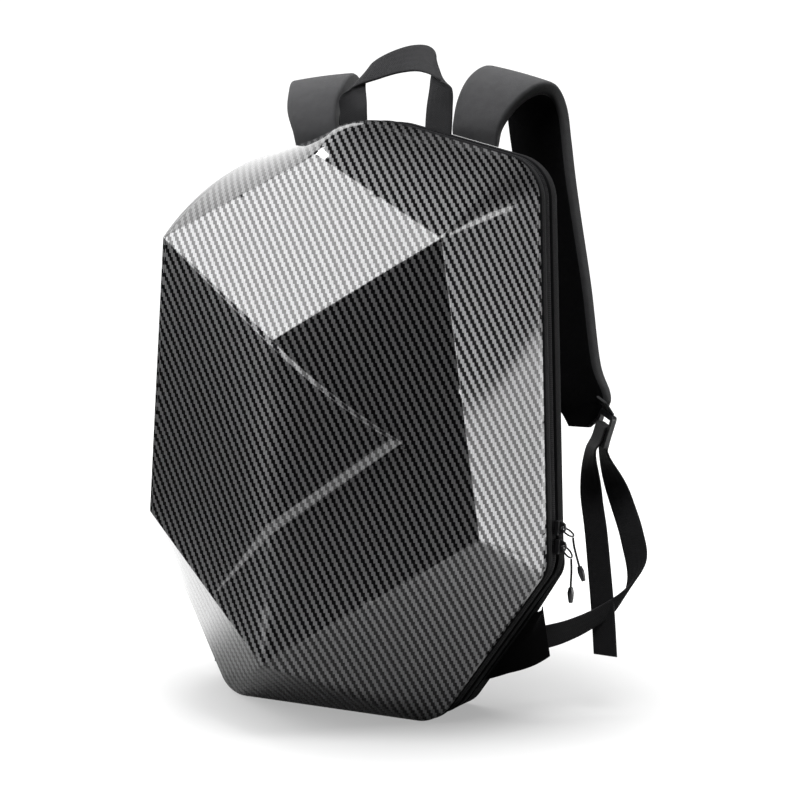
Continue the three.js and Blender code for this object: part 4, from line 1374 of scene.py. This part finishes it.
@dataclass(frozen=True)
class Studio:
    """Pale sweep, dim room and soft lights, in metres. Its floor and backdrop glow, less close to the bag
    as a painted shadow.

    The sweep's floor runs from front to back, bends up by the radius bend and rises to high.
    The shell mirrors instead the near floor, a glowing sheet that only reflections see, as a painted
    reflection, its glow lowered close to the bag as painted shade. It is given by its front and its far
    edge, each as half its width and its distance. Both are turned with the camera.
    """

    room: float = 0.012
    turn: float = math.radians(27.9)
    front: float = -4.0
    back: float = 2.6
    bend: float = 1.2
    high: float = 5.0
    half: float = 7.0
    near_front: tuple = (0.36, -0.42)
    near_far: tuple = (1.1, 2.6)
    near_up: float = 0.0004
    # x and y of the middle of the painted shadow in both floors' glow
    shadow: tuple = (0.03, 0.04)

    def facets(self) -> dict[str, tuple]:
        """The facets that mirror a card.

        Returns:
            Middle and outward normal of each, in the row frame.
        """
        g = {name: placed(point) for name, point in Shell().corners().items()}
        rim = {name: placed([across * HALF, -FLANGE, up * HEIGHT]) for name, across, up, _ in RIM}
        inside = np.array([0, 0.05, 0.24])

        def facet(*corners: np.ndarray) -> tuple[np.ndarray, np.ndarray]:
            """The mean of the corners, and the cross product of two edges, turned outwards."""
            spots = np.array(corners)
            normal = np.cross(spots[1] - spots[0], spots[2] - spots[0])
            middle = spots.mean(axis=0)
            if normal @ (middle - inside) < 0:
                normal = -normal
            return middle, normal / np.linalg.norm(normal)

        return {
            "kite": facet(g["A"], g["D"], g["C"], g["B"]),
            "crown": facet(g["B"], g["C"], rim["L"]),
            "left": facet(g["A"], g["B"], rim["LL"]),
            "front_left": facet(g["D"], g["A"], g["G"]),
        }

    def cards(self) -> list[Card | EdgeCard]:
        """The fillet's card is mirrored by the rounded edge between the kite and the left front
        facet, the ridge's by the middle of the front.

        Returns:
            Every light, in order.
        """
        facets = self.facets()
        kite, kite_way = (tuple(part) for part in facets["kite"])
        left, left_way = (tuple(part) for part in facets["left"])
        crown = tuple(facets["crown"][0])
        fillet_way = tuple(facets["kite"][1] + facets["front_left"][1])
        edge, ridge, fillet = (tuple(placed(spot)) for spot in (
            (125, -96, 270), (0, -133, 200), (-62, -128, 345)))
        return [
            Card("kite_card", kite, (1.1, 0.9), 21, kite_way, distance=1.6),
            EdgeCard("side_card", SIDE_LINE, 1.3, (1.6, 1.0), 15),
            Card("crown_card", crown, (0.5, 0.5), 14, spot=(-0.72, 0.3, 1.88)),
            Card("left_card", left, (1.0, 1.0), 4, left_way),
            Card("ridge_card", ridge, (0.35, 1.3), 2, (0, -1, 0.08)),
            Card("edge_card", edge, (0.5, 1.3), 22, spot=(1.64, -0.1, 0.37), diffuse=False),
            Card("fillet_card", fillet, (0.5, 0.4), 5, fillet_way),
            Card("arm_card", crown, (0.8, 0.8), 14, spot=(0.63, -0.22, 2.0)),
            Card("overhead", (0, 0, 0.3), (3.0, 3.0), 125, (0, 0, 1), distance=0.01,
                 shift=(0, 0.3, 2.4), glossy=False),
        ]

    def build(self, camera: bpy.types.Object) -> None:
        """Adds sweep, world and lights.

        Args:
            camera: the camera that the facets mirror the lights to.
        """
        self.sweep()
        world = bpy.data.worlds.new("room")
        world.use_nodes = True
        background = world.node_tree.nodes["Background"]
        background.inputs["Color"].default_value = (1, 1, 1, 1)
        background.inputs["Strength"].default_value = self.room
        bpy.context.scene.world = world
        bpy.context.scene.view_settings.view_transform = "Standard"
        for card in self.cards():
            card.build(camera)

    def floor_look(self, name: str, near: float, far: float, share: float) -> bpy.types.Material:
        """White floor look that glows, its glow lowered close to the bag as a painted shadow.

        Args:
            name: material name.
            near: metres from the bag up to which the glow stays lowest.
            far: metres from the bag at which it is full.
            share: the lowest glow.
        Returns:
            The new material.
        """
        look = Look(name)
        tone = look.noise(1.5, 2.0)
        x, y, _ = look.place()
        x, y = x - self.shadow[0], y - self.shadow[1]
        # painted shadow: the glow rises from share near the bag to full far from it
        away = (x * x + y * y).math("SQRT").ramp(near, far) * (1.0 - share) + share
        look.set(Base_Color=look.mix(tone, (0.24, 0.24, 0.24), (0.26, 0.26, 0.26)), Roughness=0.9,
                 Specular_IOR_Level=0.1, Emission_Strength=1.0,
                 Emission_Color=look.mix(away, (0.0, 0.0, 0.0), (1.0, 1.0, 1.0)))
        return look.material

    def sweep(self) -> None:
        """Adds floor and backdrop as the camera sees them, glowing with a painted shadow near the bag,
        and the near floor that the shell mirrors, a glowing sheet that paints the reflection, with painted
        shade near the bag. The backdrop's bend is a quarter circle."""
        angles = np.linspace(0, math.pi / 2, 12)
        line = [(self.front, 0.0),
                *((self.back + self.bend * math.sin(a), self.bend - self.bend * math.cos(a))
                  for a in angles), (self.back + self.bend, self.high)]
        wide = np.array([[(x, y, z) for x in (-self.half, self.half)] for y, z in line])
        near = np.array([[(-x, y, self.near_up), (x, y, self.near_up)]
                         for x, y in (self.near_front, self.near_far)])
        cos, sin = math.cos(self.turn), math.sin(self.turn)
        spin = np.array([[cos, -sin, 0], [sin, cos, 0], [0, 0, 1]])
        # the sweep's glow, with its painted shadow round the bag
        seen = self.floor_look("sweep", 0.08, 0.4, 0.38)
        # painted reflection: a glowing sheet that only reflections see, near black within 0.2 m of the bag
        # as painted shade
        shown = self.floor_look("mirrored_floor", 0.2, 0.3, 0.02)
        for name, rows, material in (("sweep", wide, seen), ("mirrored_floor", near, shown)):
            mesh = Mesh()
            mesh.grid(rows @ spin.T, np.linspace(0, 1, 3), np.linspace(0, 1, len(rows) + 1), False)
            sheet = mesh.build(name, [material])
            sheet.visible_camera = sheet.visible_shadow = name == "sweep"
            sheet.visible_glossy = name != "sweep"
            sheet.visible_diffuse = False


def main() -> None:
    """Builds the scene in order: camera, cords, shell, body, straps, trim, studio."""
    logging.basicConfig(level=logging.INFO, format="%(message)s", stream=sys.stdout)
    camera = Lens().build()
    looks = Looks()
    PullCords().build(looks.webbing)
    Shell().build(looks)
    Body().build(looks)
    Straps().build(looks)
    Trim().build(looks)
    Studio().build(camera)


if __name__ == "__main__":
    main()
